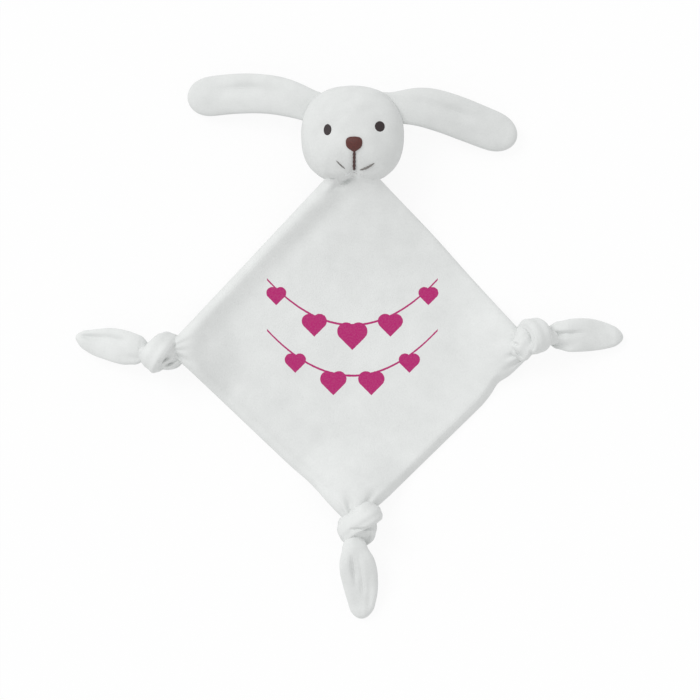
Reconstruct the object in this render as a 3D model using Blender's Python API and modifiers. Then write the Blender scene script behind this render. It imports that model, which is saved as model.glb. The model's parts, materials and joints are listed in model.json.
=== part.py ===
"""Rabbit comfort blanket, lying on its back: a two-layer velour square with three knotted corners,
and a stuffed head with two long ears sewn to the fourth.

Units are metres. The face looks up +Z, the head lies towards +Y and +X is the viewer's right. The
origin is the middle of the blanket's underside, on the surface that the toy lies on.
"""
import math

import bpy
import numpy as np
from mathutils import Matrix, Vector

# Clearance between pieces that touch
GAP = 0.0003

# Blanket: a square laid corner up, whose corners are named by where they point
HALF_WIDTH = 0.1395
TOP_Y = 0.1418
SIDE_Y = -0.0075
BOTTOM_Y = -0.1418
TOP_X = 0.0011
BOTTOM_X = 0.0019
CLOTH = 0.0018
SEAM_THREAD = 0.0005
SEAM_INSET = 0.0056
LAYER_GAP = SEAM_THREAD + 2 * GAP
INNER_CELLS = 12
FOLD_HEIGHT = 0.0055
FOLD_INSET = 0.006
FOLD_WIDTH = 0.016
CORNER_FALL = 0.034

# Knots: one overhand knot in each of three corners, tied in cloth gathered to a rope
ROPE = 0.0088
KNOT_SLACK = 0.0009
KNOT_REACH = 1.875 * ROPE
KNOT_OFFSET = 0.34 * ROPE
KNOT_POINTS = 63
LEFT_KNOT = (-HALF_WIDTH - 0.0045, SIDE_Y - 0.0015)
RIGHT_KNOT = (HALF_WIDTH - 0.0007, SIDE_Y + 0.0075)
BOTTOM_KNOT = (BOTTOM_X, BOTTOM_Y + 0.0023)

# Tails: the corner's loose end past each knot, a creased leaf
TAIL_LENGTH = 0.048
TAIL_WIDTH = 0.0265
TAIL_ROOT_WIDTH = 0.018
TAIL_HEIGHT = 0.0085
TAIL_CREASE = 0.0022
TAIL_SIDES = 16

# Head
HEAD_HALF_WIDTH = 0.0386
HEAD_HALF_LENGTH = 0.0375
HEAD_HALF_DEPTH = 0.0275
HEAD_SQUARENESS = 2.35
HEAD_CLOTH = 0.0014

# Neck: the blanket's fourth corner, gathered to a roll and sewn under the chin. It is inset from
# where that corner would lie flat, and leans away from straight up by NECK_LEAN degrees
NECK_INSET = 0.03065
NECK_LEAN = 68.0
NECK_RADIUS = 0.005
NECK_HALF_WIDTH = 0.024
NECK_PLEATS = 7
NECK_SIDES = 12
NECK_PLEAT_DEPTH = 0.0004
NECK_CLEARANCE = 0.0006
NECK_FALL = 0.072
STITCH_RADIUS = 0.0004

# Face: sizes in metres, and places in shares of the head's half width and half length
EYE_HALF_WIDTH = 0.0029
EYE_HALF_LENGTH = 0.0040
EYE_HALF_HEIGHT = 0.0013
LEFT_EYE = (-0.487, 0.133)
RIGHT_EYE = (0.528, 0.200)
NOSE_AT = (0.034, -0.139)
NOSE_HALF_WIDTH = 0.0058
NOSE_HALF_LENGTH = 0.0055
NOSE_HALF_HEIGHT = 0.0030
NOSE_TAPER = 0.28
MOUTH_RADIUS = 0.0008
SMILE_RADIUS = 0.0005
MOUTH_TOP = (0.036, -0.315)
MOUTH_END = (0.016, -0.653)
LEFT_SMILE_END = (-0.306, -0.501)
RIGHT_SMILE_END = (0.415, -0.541)
SMILE_SAG = 0.059

# Ears
EAR_LENGTH = 0.0892
EAR_HALF_WIDTH = 0.0155
EAR_ROOT_HALF_WIDTH = 0.0125
EAR_ROOT_RADIUS = 0.0046
EAR_HALF_THICKNESS = 0.0056
EAR_TIP = 0.017
EAR_FALL = 0.065
EAR_SKEW = 0.022
EAR_CLOTH = 0.0012
EAR_SHAPES = {
    # name: angle of the root round the head, direction in which the ear leaves it, and how far it
    # has turned at its tip, all in degrees
    "left": (146.0, 161.0, 30.0),
    "right": (31.5, -5.0, -17.0),
}

# Each knot's middle, the directions that it and its tail point in, in degrees from +X, how far its
# loops are rolled over from straight above the rope, which way round it is tied (1 or -1), and its
# tail's length as a share of TAIL_LENGTH
KNOT_SHAPES = {
    "left": (LEFT_KNOT, 175.0, 168.0, 115.0, -1.0, 1.0),
    "right": (RIGHT_KNOT, 8.0, -2.5, 60.0, 1.0, 1.02),
    "bottom": (BOTTOM_KNOT, -86.0, -85.3, 225.0, 1.0, 1.12),
}

COLOURS = {
    # name: colour, roughness
    "velour": ((0.80, 0.81, 0.80), 0.95),
    "stuffing": ((0.86, 0.86, 0.84), 1.0),
    "thread": ((0.78, 0.79, 0.78), 0.8),
    "eye_thread": ((0.05, 0.02, 0.018), 0.6),
    "nose_thread": ((0.11, 0.03, 0.022), 0.6),
    "mouth_thread": ((0.08, 0.035, 0.03), 0.7),
    "smile_thread": ((0.35, 0.33, 0.32), 0.7),
}


def smooth(value):
    """Smoothstep, 3t^2 - 2t^3, with t held between 0 and 1."""
    t = np.clip(value, 0.0, 1.0)
    return t * t * (3.0 - 2.0 * t)


def clear_scene():
    """Remove every object, mesh and collection that the file opened with."""
    for obj in list(bpy.data.objects):
        bpy.data.objects.remove(obj, do_unlink=True)
    for collection in list(bpy.data.collections):
        bpy.data.collections.remove(collection)


def new_collection(name):
    collection = bpy.data.collections.new(name)
    bpy.context.scene.collection.children.link(collection)
    return collection


def material(node, kind):
    """The node's own Principled material, in one of the toy's colours."""
    colour, roughness = COLOURS[kind]
    made = bpy.data.materials.new(node)
    made.use_nodes = True
    shader = made.node_tree.nodes["Principled BSDF"]
    shader.inputs["Base Color"].default_value = (*colour, 1.0)
    shader.inputs["Roughness"].default_value = roughness
    shader.inputs["Metallic"].default_value = 0.0
    made.diffuse_color = (*colour, 1.0)
    return made


def place(obj, pivot, parent):
    """Put an object's origin on its pivot, with its geometry where it was, and parent it there."""
    if obj.type == "MESH":
        obj.data.transform(Matrix.Translation(-Vector(pivot)))
    else:
        for spline in obj.data.splines:
            for point in spline.points:
                point.co.xyz -= Vector(pivot)
    offset = Vector(parent.location) if parent else Vector((0.0, 0.0, 0.0))
    obj.location = Vector(pivot) - offset
    obj.parent = parent


def add_mesh(name, points, faces, kind, collection):
    mesh = bpy.data.meshes.new(name)
    mesh.from_pydata([tuple(p) for p in points], [], faces)
    mesh.shade_smooth()
    obj = bpy.data.objects.new(name, mesh)
    collection.objects.link(obj)
    mesh.materials.append(material(name, kind))
    return obj


def add_tube(name, route, radii, kind, collection, cyclic=False, resolution=2):
    """A tube along a route: a poly curve with a round bevel, whose points carry the radius."""
    curve = bpy.data.curves.new(name, "CURVE")
    curve.dimensions = "3D"
    curve.bevel_depth = 1.0
    curve.bevel_resolution = resolution
    curve.use_fill_caps = not cyclic
    spline = curve.splines.new("POLY")
    spline.points.add(len(route) - 1)
    for point, where, radius in zip(spline.points, route, np.broadcast_to(radii, len(route))):
        point.co = (*where, 1.0)
        point.radius = radius
    spline.use_cyclic_u = cyclic
    spline.use_smooth = True
    obj = bpy.data.objects.new(name, curve)
    collection.objects.link(obj)
    curve.materials.append(material(name, kind))
    return obj


def hold_at(pivot, name, collection):
    """An empty on a joint's axis, which carries the pieces that turn there."""
    empty = bpy.data.objects.new(name, None)
    empty.empty_display_size = 0.01
    empty.location = pivot
    collection.objects.link(empty)
    return empty


def make_cutter(obj, cutters):
    """Move an object to the cutters, which are never part of the toy."""
    for collection in list(obj.users_collection):
        collection.objects.unlink(obj)
    cutters.objects.link(obj)
    obj.hide_render = True
    obj.display_type = "WIRE"
    return obj


def box_cutter(name, middle, size, heading, cutters):
    """A box with its own x axis turned to heading degrees."""
    bpy.ops.mesh.primitive_cube_add(size=1.0, location=middle)
    box = bpy.context.active_object
    box.name = name
    box.scale = size
    box.rotation_euler = (0.0, 0.0, math.radians(heading))
    return make_cutter(box, cutters)


def cut(obj, cutter):
    boolean = obj.modifiers.new("cut_" + cutter.name, "BOOLEAN")
    boolean.operation = "DIFFERENCE"
    boolean.solver = "EXACT"
    boolean.object = cutter


def loft_faces(stations, ring):
    """Quads along a stack of closed rings, and a face on each end, all facing out."""
    faces = []
    for i in range(stations - 1):
        for j in range(ring):
            k = (j + 1) % ring
            faces.append((i * ring + j, i * ring + k, (i + 1) * ring + k, (i + 1) * ring + j))
    faces.append(tuple(range(ring - 1, -1, -1)))
    faces.append(tuple((stations - 1) * ring + j for j in range(ring)))
    return faces


def cloth_faces(count):
    """Triangles of a square grid, whose diagonals run across each of its four corners."""
    faces = []
    for i in range(count - 1):
        for j in range(count - 1):
            a, b = i * count + j, (i + 1) * count + j
            c, d = b + 1, a + 1
            if (2 * i < count - 1) == (2 * j < count - 1):
                faces += [(a, b, d), (b, c, d)]
            else:
                faces += [(a, b, c), (a, c, d)]
    return faces


# Knots


def tighten(route, ends, rope, steps=1400):
    """Pull a loose knot tight: each point moves to the middle of its neighbours, and strands that
    come closer than one rope diameter push each other apart."""
    points = np.array(route)
    count = len(points)
    index = np.arange(count)
    apart = np.abs(index[:, None] - index[None, :])
    for step in range(steps):
        pull = 0.5 * (points[:-2] + points[2:]) - points[1:-1]
        settling = min(1.0, 1.6 * (1.0 - step / steps))
        points[1:-1] += 0.5 * settling * pull
        points[0] = ends[0]
        points[-1] = ends[1]
        for repeat in range(3):
            between = points[:, None, :] - points[None, :, :]
            distance = np.linalg.norm(between, axis=2) + 1e-12
            spacing = np.linalg.norm(np.diff(points, axis=0), axis=1).mean()
            strands = apart * spacing > 1.45 * rope
            overlap = np.where(strands & (distance < rope), rope - distance, 0.0)
            push = (overlap / distance)[:, :, None] * between
            near = np.maximum((overlap > 0).sum(axis=1), 1)[:, None]
            moved = 0.5 * push.sum(axis=1) / near
            points[1:-1] += moved[1:-1]
        length = np.concatenate(([0.0], np.cumsum(np.linalg.norm(np.diff(points, axis=0), axis=1))))
        even = np.linspace(0.0, length[-1], count)
        points = np.stack([np.interp(even, length, points[:, k]) for k in range(3)], axis=1)
    return points


def least_gap(route, rope):
    """The least clearance between two strands of a rope, measured on its route's points."""
    spacing = np.linalg.norm(np.diff(route, axis=0), axis=1).mean()
    index = np.arange(len(route))
    strands = np.abs(index[:, None] - index[None, :]) * spacing > 1.45 * rope
    distance = np.linalg.norm(route[:, None, :] - route[None, :, :], axis=2)
    return float(distance[strands].min() - rope)


def knot_route():
    """The middle line of a tight overhand knot along local x, which leaves it at both ends.

    The loose knot is the long trefoil x = t^5 - 10t, y = t^3 - 3t, z = 4t^2 - t^4.
    """
    t = np.linspace(-2.08, 2.08, KNOT_POINTS)
    loose = np.stack([(t**5 - 10.0 * t) * 0.14, t**3 - 3.0 * t, 4.0 * t**2 - t**4 - 2.0], axis=1)
    lead = np.linspace(0.0, 1.0, 6)[1:, None]
    reach = np.array([KNOT_REACH, 0.0, KNOT_OFFSET])
    ends = (reach * (-1.0, 1.0, 1.0), reach)
    loose *= 0.9 * ROPE
    route = np.concatenate([
        loose[0] + (ends[0] - loose[0]) * lead[::-1],
        loose,
        loose[-1] + (ends[1] - loose[-1]) * lead,
    ])
    return tighten(route, ends, ROPE + KNOT_SLACK) - (0.0, 0.0, KNOT_OFFSET)


def rounded_ends(route, radius):
    """Add a round end past both ends of a rope's route, and give every point its radius."""
    fractions = np.array([0.45, 0.8, 0.97])
    start = route[0] - route[1]
    start /= np.linalg.norm(start)
    end = route[-1] - route[-2]
    end /= np.linalg.norm(end)
    before = np.array([route[0] + start * radius * f for f in fractions[::-1]])
    after = np.array([route[-1] + end * radius * f for f in fractions])
    shrink = radius * np.sqrt(1.0 - fractions**2)
    points = np.concatenate([before, route, after])
    radii = np.concatenate([shrink[::-1], np.full(len(route), radius), shrink])
    return points, radii


def heading_vectors(heading):
    """The unit vectors along a heading in the ground plane, and to its left."""
    angle = math.radians(heading)
    along = np.array([math.cos(angle), math.sin(angle), 0.0])
    return along, np.array([-along[1], along[0], 0.0])


class Knot:
    """Where one corner's knot sits, where it bends and which way it points."""

    def __init__(self, name, route):
        middle, self.heading, self.tail_heading, roll, hand, share = KNOT_SHAPES[name]
        self.tail_length = TAIL_LENGTH * share
        self.name = name
        self.along, self.left = heading_vectors(self.heading)
        turn = math.radians(roll)
        aside = hand * (route[:, 1] * math.cos(turn) - route[:, 2] * math.sin(turn))
        up = route[:, 1] * math.sin(turn) + route[:, 2] * math.cos(turn)
        self.route = np.outer(route[:, 0], self.along) + np.outer(aside, self.left)
        self.route[:, 2] = up - up.min() + ROPE / 2
        self.route[:, :2] += middle
        self.root = self.route[0]
        self.tail_root = self.route[-1]


def build_knot(knot, collection):
    points, radii = rounded_ends(knot.route[::2], ROPE / 2)
    obj = add_tube(f"{knot.name}_knot", points, radii, "velour", collection, resolution=2)
    place(obj, knot.root, None)
    print(f"{knot.name} knot: least gap to itself {least_gap(knot.route, ROPE) * 1000:.2f} mm")
    return obj


def tail_ring(half_width, half_height, crease):
    """A leaf's section: an oval with a groove along its top."""
    angle = np.linspace(0.0, 2.0 * math.pi, TAIL_SIDES, endpoint=False)
    side = half_width * np.cos(angle)
    up = half_height * np.sin(angle)
    groove = crease * np.exp(-((side / (0.28 * half_width)) ** 2)) * (np.sin(angle) > 0.5)
    return side, up - groove


def build_tail(knot, collection, knot_object):
    """A leaf that starts past the knot's round end, sinks to the surface and narrows to a point."""
    along, left = heading_vectors(knot.tail_heading)
    start = ROPE / 2 + GAP
    reach = np.linspace(0.0, 1.0, 13)
    s = start + (knot.tail_length - start) * np.sin(reach * math.pi / 2) ** 1.2
    share = (s - start) / (knot.tail_length - start)
    swell = smooth(share / 0.42)
    narrow = np.sqrt(1.0 - (np.maximum(share - 0.42, 0.0) / 0.585) ** 2)
    half_width = (TAIL_ROOT_WIDTH + (TAIL_WIDTH - TAIL_ROOT_WIDTH) * swell) / 2 * narrow**0.9
    half_height = (0.30 + 0.70 * swell) * TAIL_HEIGHT / 2 * narrow**0.6
    middle = half_height + (knot.tail_root[2] - half_height) * (1.0 - smooth((share + 0.02) / 0.55))
    points = []
    for k in range(len(s)):
        side, up = tail_ring(half_width[k], half_height[k], TAIL_CREASE * swell[k] * narrow[k])
        section = knot.tail_root + s[k] * along + side[:, None] * left
        section[:, 2] = middle[k] + up
        points.extend(section)
    obj = add_mesh(f"{knot.name}_tail", points, loft_faces(len(s), TAIL_SIDES), "velour", collection)
    place(obj, knot.tail_root, knot_object)


# Head


class Head:
    """The stuffed head: an oval in every view, squarer across the cheeks, lying on its back."""

    def __init__(self):
        self.halves = np.array([HEAD_HALF_WIDTH, HEAD_HALF_LENGTH, HEAD_HALF_DEPTH])
        lean = math.radians(NECK_LEAN)
        turn = math.atan(math.tan(lean) * HEAD_HALF_LENGTH / HEAD_HALF_DEPTH)
        self.neck_out = np.array([0.0, -math.sin(lean), math.cos(lean)])
        self.to_neck = np.array([0.0, -HEAD_HALF_LENGTH * math.sin(turn), HEAD_HALF_DEPTH * math.cos(turn)])
        to_hinge = self.to_neck + (NECK_RADIUS + NECK_CLEARANCE) * self.neck_out
        self.middle = np.array([TOP_X, TOP_Y - NECK_INSET - to_hinge[1], HEAD_HALF_DEPTH])
        self.neck_hinge = self.middle + to_hinge

    def outline(self, angle, shrink=0.0):
        """Distance from the middle to the outline, in the plane of the side seam."""
        a, b = self.halves[:2] - shrink
        power = HEAD_SQUARENESS
        return (np.abs(np.cos(angle) / a) ** power + np.abs(np.sin(angle) / b) ** power) ** (-1.0 / power)

    def on_face(self, across, along):
        """The point of the face at shares of the half width and half length, and its normal."""
        x, y = across * HEAD_HALF_WIDTH, along * HEAD_HALF_LENGTH
        share = math.hypot(x, y) / self.outline(math.atan2(y, x))
        point = np.array([x, y, HEAD_HALF_DEPTH * math.sqrt(1.0 - share**2)])
        normal = point / self.halves**2
        return self.middle + point, normal / np.linalg.norm(normal)

    def pulled_on(self, point):
        """The point of the head's surface on the line from its middle to a point, and its normal."""
        ray = point - self.middle
        flat = self.outline(math.atan2(ray[1], ray[0]))
        reach = ray / math.sqrt((math.hypot(ray[0], ray[1]) / flat) ** 2 + (ray[2] / HEAD_HALF_DEPTH) ** 2)
        normal = reach / self.halves**2
        return self.middle + reach, normal / np.linalg.norm(normal)

    def form(self, name, kind, collection, shrink=0.0, around=28, up=14):
        """The closed head form, drawn in all round by shrink."""
        angle = np.linspace(0.0, 2.0 * math.pi, around, endpoint=False)
        tilt = np.linspace(-math.pi / 2, math.pi / 2, up + 1)[1:-1]
        reach = self.outline(angle, shrink)
        depth = HEAD_HALF_DEPTH - shrink
        x = np.cos(tilt)[:, None] * (reach * np.cos(angle))
        y = np.cos(tilt)[:, None] * (reach * np.sin(angle))
        z = np.sin(tilt)[:, None] * depth * np.ones(around)
        points = np.stack([x.ravel(), y.ravel(), z.ravel()], axis=1) + self.middle
        poles = [self.middle - (0.0, 0.0, depth), self.middle + (0.0, 0.0, depth)]
        rows = len(tilt)
        faces = loft_faces(rows, around)[:-2]
        low, high = rows * around, rows * around + 1
        for j in range(around):
            k = (j + 1) % around
            faces.append((low, k, j))
            faces.append((high, (rows - 1) * around + j, (rows - 1) * around + k))
        return add_mesh(name, list(points) + poles, faces, kind, collection)


def build_head(head, collection, cutters, holder):
    """Face and back of the head as two half shells that meet at the side seam, round the stuffing."""
    pivot = head.middle
    inner = make_cutter(head.form("head_inside", "stuffing", collection, HEAD_CLOTH), cutters)
    reach = 4.0 * HEAD_HALF_WIDTH
    for name, side in (("head_front_panel", 1.0), ("head_back_panel", -1.0)):
        shell = head.form(name, "velour", collection)
        middle = head.middle - (0.0, 0.0, side * (reach / 2 - GAP / 2))
        half = box_cutter(name + "_other_side", middle, (reach, reach, reach), 0.0, cutters)
        cut(shell, inner)
        cut(shell, half)
        place(shell, pivot, holder)
    filling = head.form("head_stuffing", "stuffing", collection, HEAD_CLOTH + GAP)
    place(filling, pivot, holder)


def stud(name, head, at, half_sizes, kind, collection, holder, clearance, taper=0.0):
    """A padded patch of satin stitch on the face, cut to the face's curve. A taper narrows it
    towards the chin."""
    base, normal = head.on_face(*at)
    bpy.ops.mesh.primitive_uv_sphere_add(segments=16, ring_count=10, radius=1.0)
    obj = bpy.context.active_object
    obj.name = name
    obj.data.name = name
    for linked in list(obj.users_collection):
        linked.objects.unlink(obj)
    collection.objects.link(obj)
    turn = Vector((0.0, 0.0, 1.0)).rotation_difference(Vector(normal))
    for vertex in obj.data.vertices:
        x, y, z = vertex.co
        x *= 1.0 + taper * y
        local = Vector((x * half_sizes[0], y * half_sizes[1], z * half_sizes[2]))
        vertex.co = turn @ local + Vector(base)
    obj.data.shade_smooth()
    obj.data.materials.append(material(name, kind))
    cut(obj, clearance)
    place(obj, head.middle, holder)
    return obj


def stroke(name, head, points, radius, kind, collection, holder):
    """A line of stitches that lies on the face."""
    route = []
    for across, along in points:
        base, normal = head.on_face(across, along)
        route.append(base + (radius + GAP) * normal)
    obj = add_tube(name, route, radius, kind, collection, resolution=1)
    place(obj, head.middle, holder)
    return obj


def sagging(start, end, sag, steps=7):
    """Points on a shallow arc from start to end, which hangs below the straight line by sag."""
    t = np.linspace(0.0, 1.0, steps)
    x = start[0] + (end[0] - start[0]) * t
    y = start[1] + (end[1] - start[1]) * t - 4.0 * sag * t * (1.0 - t)
    return list(zip(x, y))


def build_face(head, collection, cutters, holder):
    clearance = make_cutter(head.form("face_clearance", "stuffing", collection, -GAP, 56, 28), cutters)
    eye = (EYE_HALF_WIDTH, EYE_HALF_LENGTH, EYE_HALF_HEIGHT)
    nose = (NOSE_HALF_WIDTH, NOSE_HALF_LENGTH, NOSE_HALF_HEIGHT)
    stud("left_eye", head, LEFT_EYE, eye, "eye_thread", collection, holder, clearance)
    stud("right_eye", head, RIGHT_EYE, eye, "eye_thread", collection, holder, clearance)
    stud("nose", head, NOSE_AT, nose, "nose_thread", collection, holder, clearance, NOSE_TAPER)
    space = (MOUTH_RADIUS + SMILE_RADIUS + 2.0 * GAP) / HEAD_HALF_WIDTH
    line = sagging(MOUTH_TOP, MOUTH_END, 0.0)
    stroke("mouth_line", head, line, MOUTH_RADIUS, "mouth_thread", collection, holder)
    for name, end, side in (("left_smile", LEFT_SMILE_END, -1.0), ("right_smile", RIGHT_SMILE_END, 1.0)):
        start = (MOUTH_END[0] + side * space, MOUTH_END[1])
        line = sagging(start, end, SMILE_SAG)
        stroke(name, head, line, SMILE_RADIUS, "smile_thread", collection, holder)


def build_neck(head, collection, cutters, holder):
    """The gathered roll of cloth under the chin, and the ring of stitches that sews it on.

    The stitches lie in the crease between the roll and the chin, and touch the roll: a thread of
    radius e between a circle of radius R and its tangent sits 2 sqrt(R e) from where they meet.
    """
    hinge = head.neck_hinge
    across = np.linspace(-math.pi / 2, math.pi / 2, 4 * NECK_PLEATS + 1)
    share = np.sin(across)
    x = NECK_HALF_WIDTH * share
    pleat = 0.5 * NECK_PLEAT_DEPTH * (1.0 - np.cos(math.pi * NECK_PLEATS * share))
    radius = (NECK_RADIUS - pleat) * np.sqrt(1.0 - 0.95 * share**6)
    angle = np.linspace(0.0, 2.0 * math.pi, NECK_SIDES, endpoint=False)
    points = [
        hinge + (x[i], radius[i] * math.cos(a), radius[i] * math.sin(a))
        for i in range(len(x))
        for a in angle
    ]
    roll = add_mesh("neck_gather", points, loft_faces(len(x), NECK_SIDES), "velour", collection)
    clearance = head.form("chin_clearance", "stuffing", collection, -NECK_CLEARANCE, 56, 28)
    cut(roll, make_cutter(clearance, cutters))
    place(roll, hinge, holder)
    up = np.array([0.0, head.neck_out[2], -head.neck_out[1]])
    ring = []
    seat = STITCH_RADIUS + GAP
    for a in np.linspace(0.0, 2.0 * math.pi, 40, endpoint=False):
        side = (NECK_HALF_WIDTH + seat) * math.cos(a)
        rise = 2.0 * math.sqrt(NECK_RADIUS * seat) * math.sin(a)
        base, normal = head.pulled_on(head.middle + head.to_neck + (side, 0.0, 0.0) + rise * up)
        ring.append(base + (NECK_CLEARANCE + seat) * normal)
    stitches = add_tube("neck_stitching", ring, STITCH_RADIUS, "thread", collection, True, 1)
    place(stitches, hinge, holder)


# Ears


class Ear:
    """The ear's middle line, and its half width and half thickness, by distance from its hinge."""

    def __init__(self, name, head):
        self.name = name
        self.root_angle, self.leaving, self.turn = EAR_SHAPES[name]
        out, self.left = heading_vectors(self.root_angle)
        distance = head.outline(math.radians(self.root_angle)) + EAR_ROOT_RADIUS + GAP
        self.hinge = head.middle + distance * out
        self.far = np.linspace(0.0, EAR_LENGTH, 90)
        heading = np.radians(self.heading(self.far))
        step = np.diff(self.far, prepend=0.0)
        self.x = np.cumsum(np.cos(heading) * step)
        self.y = np.cumsum(np.sin(heading) * step)

    def heading(self, s):
        """Direction of the middle line at s, in degrees."""
        return self.leaving + self.turn * np.sin(0.5 * math.pi * s / EAR_LENGTH)

    def facing(self, s):
        """Direction that the section at s faces: the root's at the hinge, the line's further on."""
        return self.root_angle + (self.heading(s) - self.root_angle) * float(smooth(s / EAR_SKEW))

    def middle(self, s):
        out, _ = heading_vectors(self.root_angle)
        drop = (self.hinge[2] - EAR_HALF_THICKNESS) * smooth(s / EAR_FALL)
        ahead = np.maximum(s, 0.0)
        x = np.interp(ahead, self.far, self.x) + np.minimum(s, 0.0) * out[0]
        y = np.interp(ahead, self.far, self.y) + np.minimum(s, 0.0) * out[1]
        return self.hinge + np.array([x, y, -drop])

    def frame(self, s):
        """Side and upward unit vectors of the section at s."""
        ahead = self.middle(s + 0.0005) - self.middle(s - 0.0005)
        ahead /= np.linalg.norm(ahead)
        _, side = heading_vectors(self.facing(max(s, 0.0)))
        up = np.cross(ahead, side)
        return side, up / np.linalg.norm(up)

    def half_sizes(self, s, inset):
        """Half width and half thickness at s, with the whole ear drawn in by inset."""
        root = EAR_ROOT_RADIUS
        width = EAR_ROOT_HALF_WIDTH + (EAR_HALF_WIDTH - EAR_ROOT_HALF_WIDTH) * float(smooth(s / 0.025))
        thick = root + (EAR_HALF_THICKNESS - root) * float(smooth(s / 0.025))
        cap = 1.0
        from_tip = EAR_LENGTH - inset - s
        tip = EAR_TIP - inset
        if from_tip < tip:
            cap = math.sqrt(max(0.0, 1.0 - (1.0 - from_tip / tip) ** 2))
        nose = 1.0
        if s < 0.0:
            nose = math.sqrt(max(0.0, 1.0 - (s / (root - inset)) ** 2))
        return (width - inset) * cap * (0.75 + 0.25 * nose), (thick - inset) * cap * nose

    def stations(self, inset, count=15):
        """Distances along the ear, closer together where it rounds over at each end."""
        root = EAR_ROOT_RADIUS - inset
        low = -root * np.cos(np.radians([6.0, 40.0, 68.0]))
        tip = EAR_TIP - inset
        high = EAR_LENGTH - inset - tip * (1.0 - np.sin(np.radians([30.0, 52.0, 70.0, 84.0])))
        along = np.linspace(0.0, EAR_LENGTH - inset - tip, count - 7)
        return np.concatenate([low, along, high])

    def arc(self, s, inset, start, stop, count):
        """Points on part of the section's oval, from one angle to another."""
        middle = self.middle(s)
        side, up = self.frame(s)
        half_width, half_thick = self.half_sizes(s, inset)
        angle = np.linspace(start, stop, count)
        across = np.outer(np.cos(angle) * half_width, side)
        return middle + across + np.outer(np.sin(angle) * half_thick, up)


def build_ear(ear, collection, holder):
    """Two velour panels sewn edge to edge round a thin filling, all hinged where the ear is sewn on."""
    pivot = Vector(ear.hinge)
    for name, start in ((f"{ear.name}_ear_front", 0.0), (f"{ear.name}_ear_back", math.pi)):
        points = []
        outside, inside = ear.stations(0.0), ear.stations(EAR_CLOTH)
        for s_out, s_in in zip(outside, inside):
            lift = GAP / 2 * ear.frame(s_out)[1] * (1.0 if start == 0.0 else -1.0)
            points.extend(ear.arc(s_out, 0.0, start, start + math.pi, 8) + lift)
            points.extend(ear.arc(s_in, EAR_CLOTH, start + math.pi, start, 8) + lift)
        panel = add_mesh(name, points, loft_faces(len(outside), 16), "velour", collection)
        place(panel, pivot, holder)
    inset = EAR_CLOTH + GAP
    points = []
    stations = ear.stations(inset)
    for s in stations:
        points.extend(ear.arc(s, inset, 0.0, 2.0 * math.pi * 13 / 14, 14))
    faces = loft_faces(len(stations), 14)
    filling = add_mesh(f"{ear.name}_ear_filling", points, faces, "stuffing", collection)
    place(filling, pivot, holder)


# Blanket


class Blanket:
    """The blanket's square as a grid between its four corners, and its height above the ground."""

    def __init__(self, head, knots):
        self.top = np.array([TOP_X, TOP_Y])
        self.left = np.array([-HALF_WIDTH, SIDE_Y])
        self.right = np.array([HALF_WIDTH, SIDE_Y])
        self.bottom = np.array([BOTTOM_X, BOTTOM_Y])
        self.neck = head.neck_hinge
        self.knots = knots
        edge = SEAM_INSET * np.array([0.0, 0.4, 1.0, 2.0]) / np.linalg.norm(self.right - self.top)
        self.seam = 2
        inner = np.linspace(2.0 * edge[-1], 1.0 - 2.0 * edge[-1], INNER_CELLS + 1)
        self.lines = np.concatenate([edge, inner, 1.0 - edge[::-1]])

    def plan(self, u, v):
        """Ground position: u runs from the top corner to the right one, v to the left one."""
        u, v = np.asarray(u)[..., None], np.asarray(v)[..., None]
        return (
            self.top * (1 - u) * (1 - v) + self.right * u * (1 - v)
            + self.left * (1 - u) * v + self.bottom * u * v
        )

    def height(self, u, v):
        """Height of the middle between the two layers."""
        flat = CLOTH + LAYER_GAP / 2
        where = self.plan(u, v)
        x, y = where[..., 0], where[..., 1]
        aside = np.maximum(np.abs(x - self.neck[0]) - 0.6 * NECK_HALF_WIDTH, 0.0)
        away = np.hypot(aside, y - self.neck[1])
        height = flat + (self.neck[2] - flat) * (1.0 - smooth(away / NECK_FALL))
        for knot in self.knots:
            away = np.hypot(x - knot.root[0], y - knot.root[1])
            height = height + (knot.root[2] - flat) * (1.0 - smooth((away - ROPE / 2) / CORNER_FALL))
        inset = np.asarray(u) * np.linalg.norm(self.right - self.top)
        ends = smooth(np.asarray(v) / 0.3) * smooth((1.0 - np.asarray(v)) / 0.12)
        return height + FOLD_HEIGHT * ends * np.exp(-(((inset - FOLD_INSET) / FOLD_WIDTH) ** 2))

    def surface(self, u, v, offset=0.0):
        u, v = np.broadcast_arrays(np.asarray(u, float), np.asarray(v, float))
        where = self.plan(u, v)
        return np.concatenate([where, (self.height(u, v) + offset)[..., None]], axis=-1)

    def corner_cells(self):
        """How many cells in from each corner of its ring the seam crosses, inside that corner's cut."""
        left, right, bottom = self.knots
        cuts = (
            (self.top, self.bottom, self.neck, NECK_RADIUS),
            (self.right, self.left, right.root, ROPE / 2),
            (self.bottom, self.top, bottom.root, ROPE / 2),
            (self.left, self.right, left.root, ROPE / 2),
        )
        cells = []
        for corner, opposite, hinge, radius in cuts:
            needed = np.linalg.norm(hinge[:2] - corner) + radius + SEAM_INSET
            diagonal = np.linalg.norm(opposite - corner)
            crossing = 0.5 * (self.lines[self.seam] + self.lines[self.seam:]) * diagonal
            cells.append(int(np.argmax(crossing > needed)))
        return cells

    def corner_cutters(self, cutters):
        """Boxes past each bend, so that the cloth ends clear of the knots and of the neck's roll."""
        side = 4.0 * HEAD_HALF_WIDTH
        made = []
        for knot in self.knots:
            middle = knot.root + (side / 2 - ROPE / 2 - GAP) * knot.along
            box = box_cutter(f"{knot.name}_corner_end", middle, (side, side, side), knot.heading, cutters)
            made.append(box)
        middle = self.neck + np.array([0.0, side / 2 - NECK_RADIUS - GAP, 0.0])
        made.append(box_cutter("top_corner_end", middle, (side, side, side), 90.0, cutters))
        return made


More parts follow.
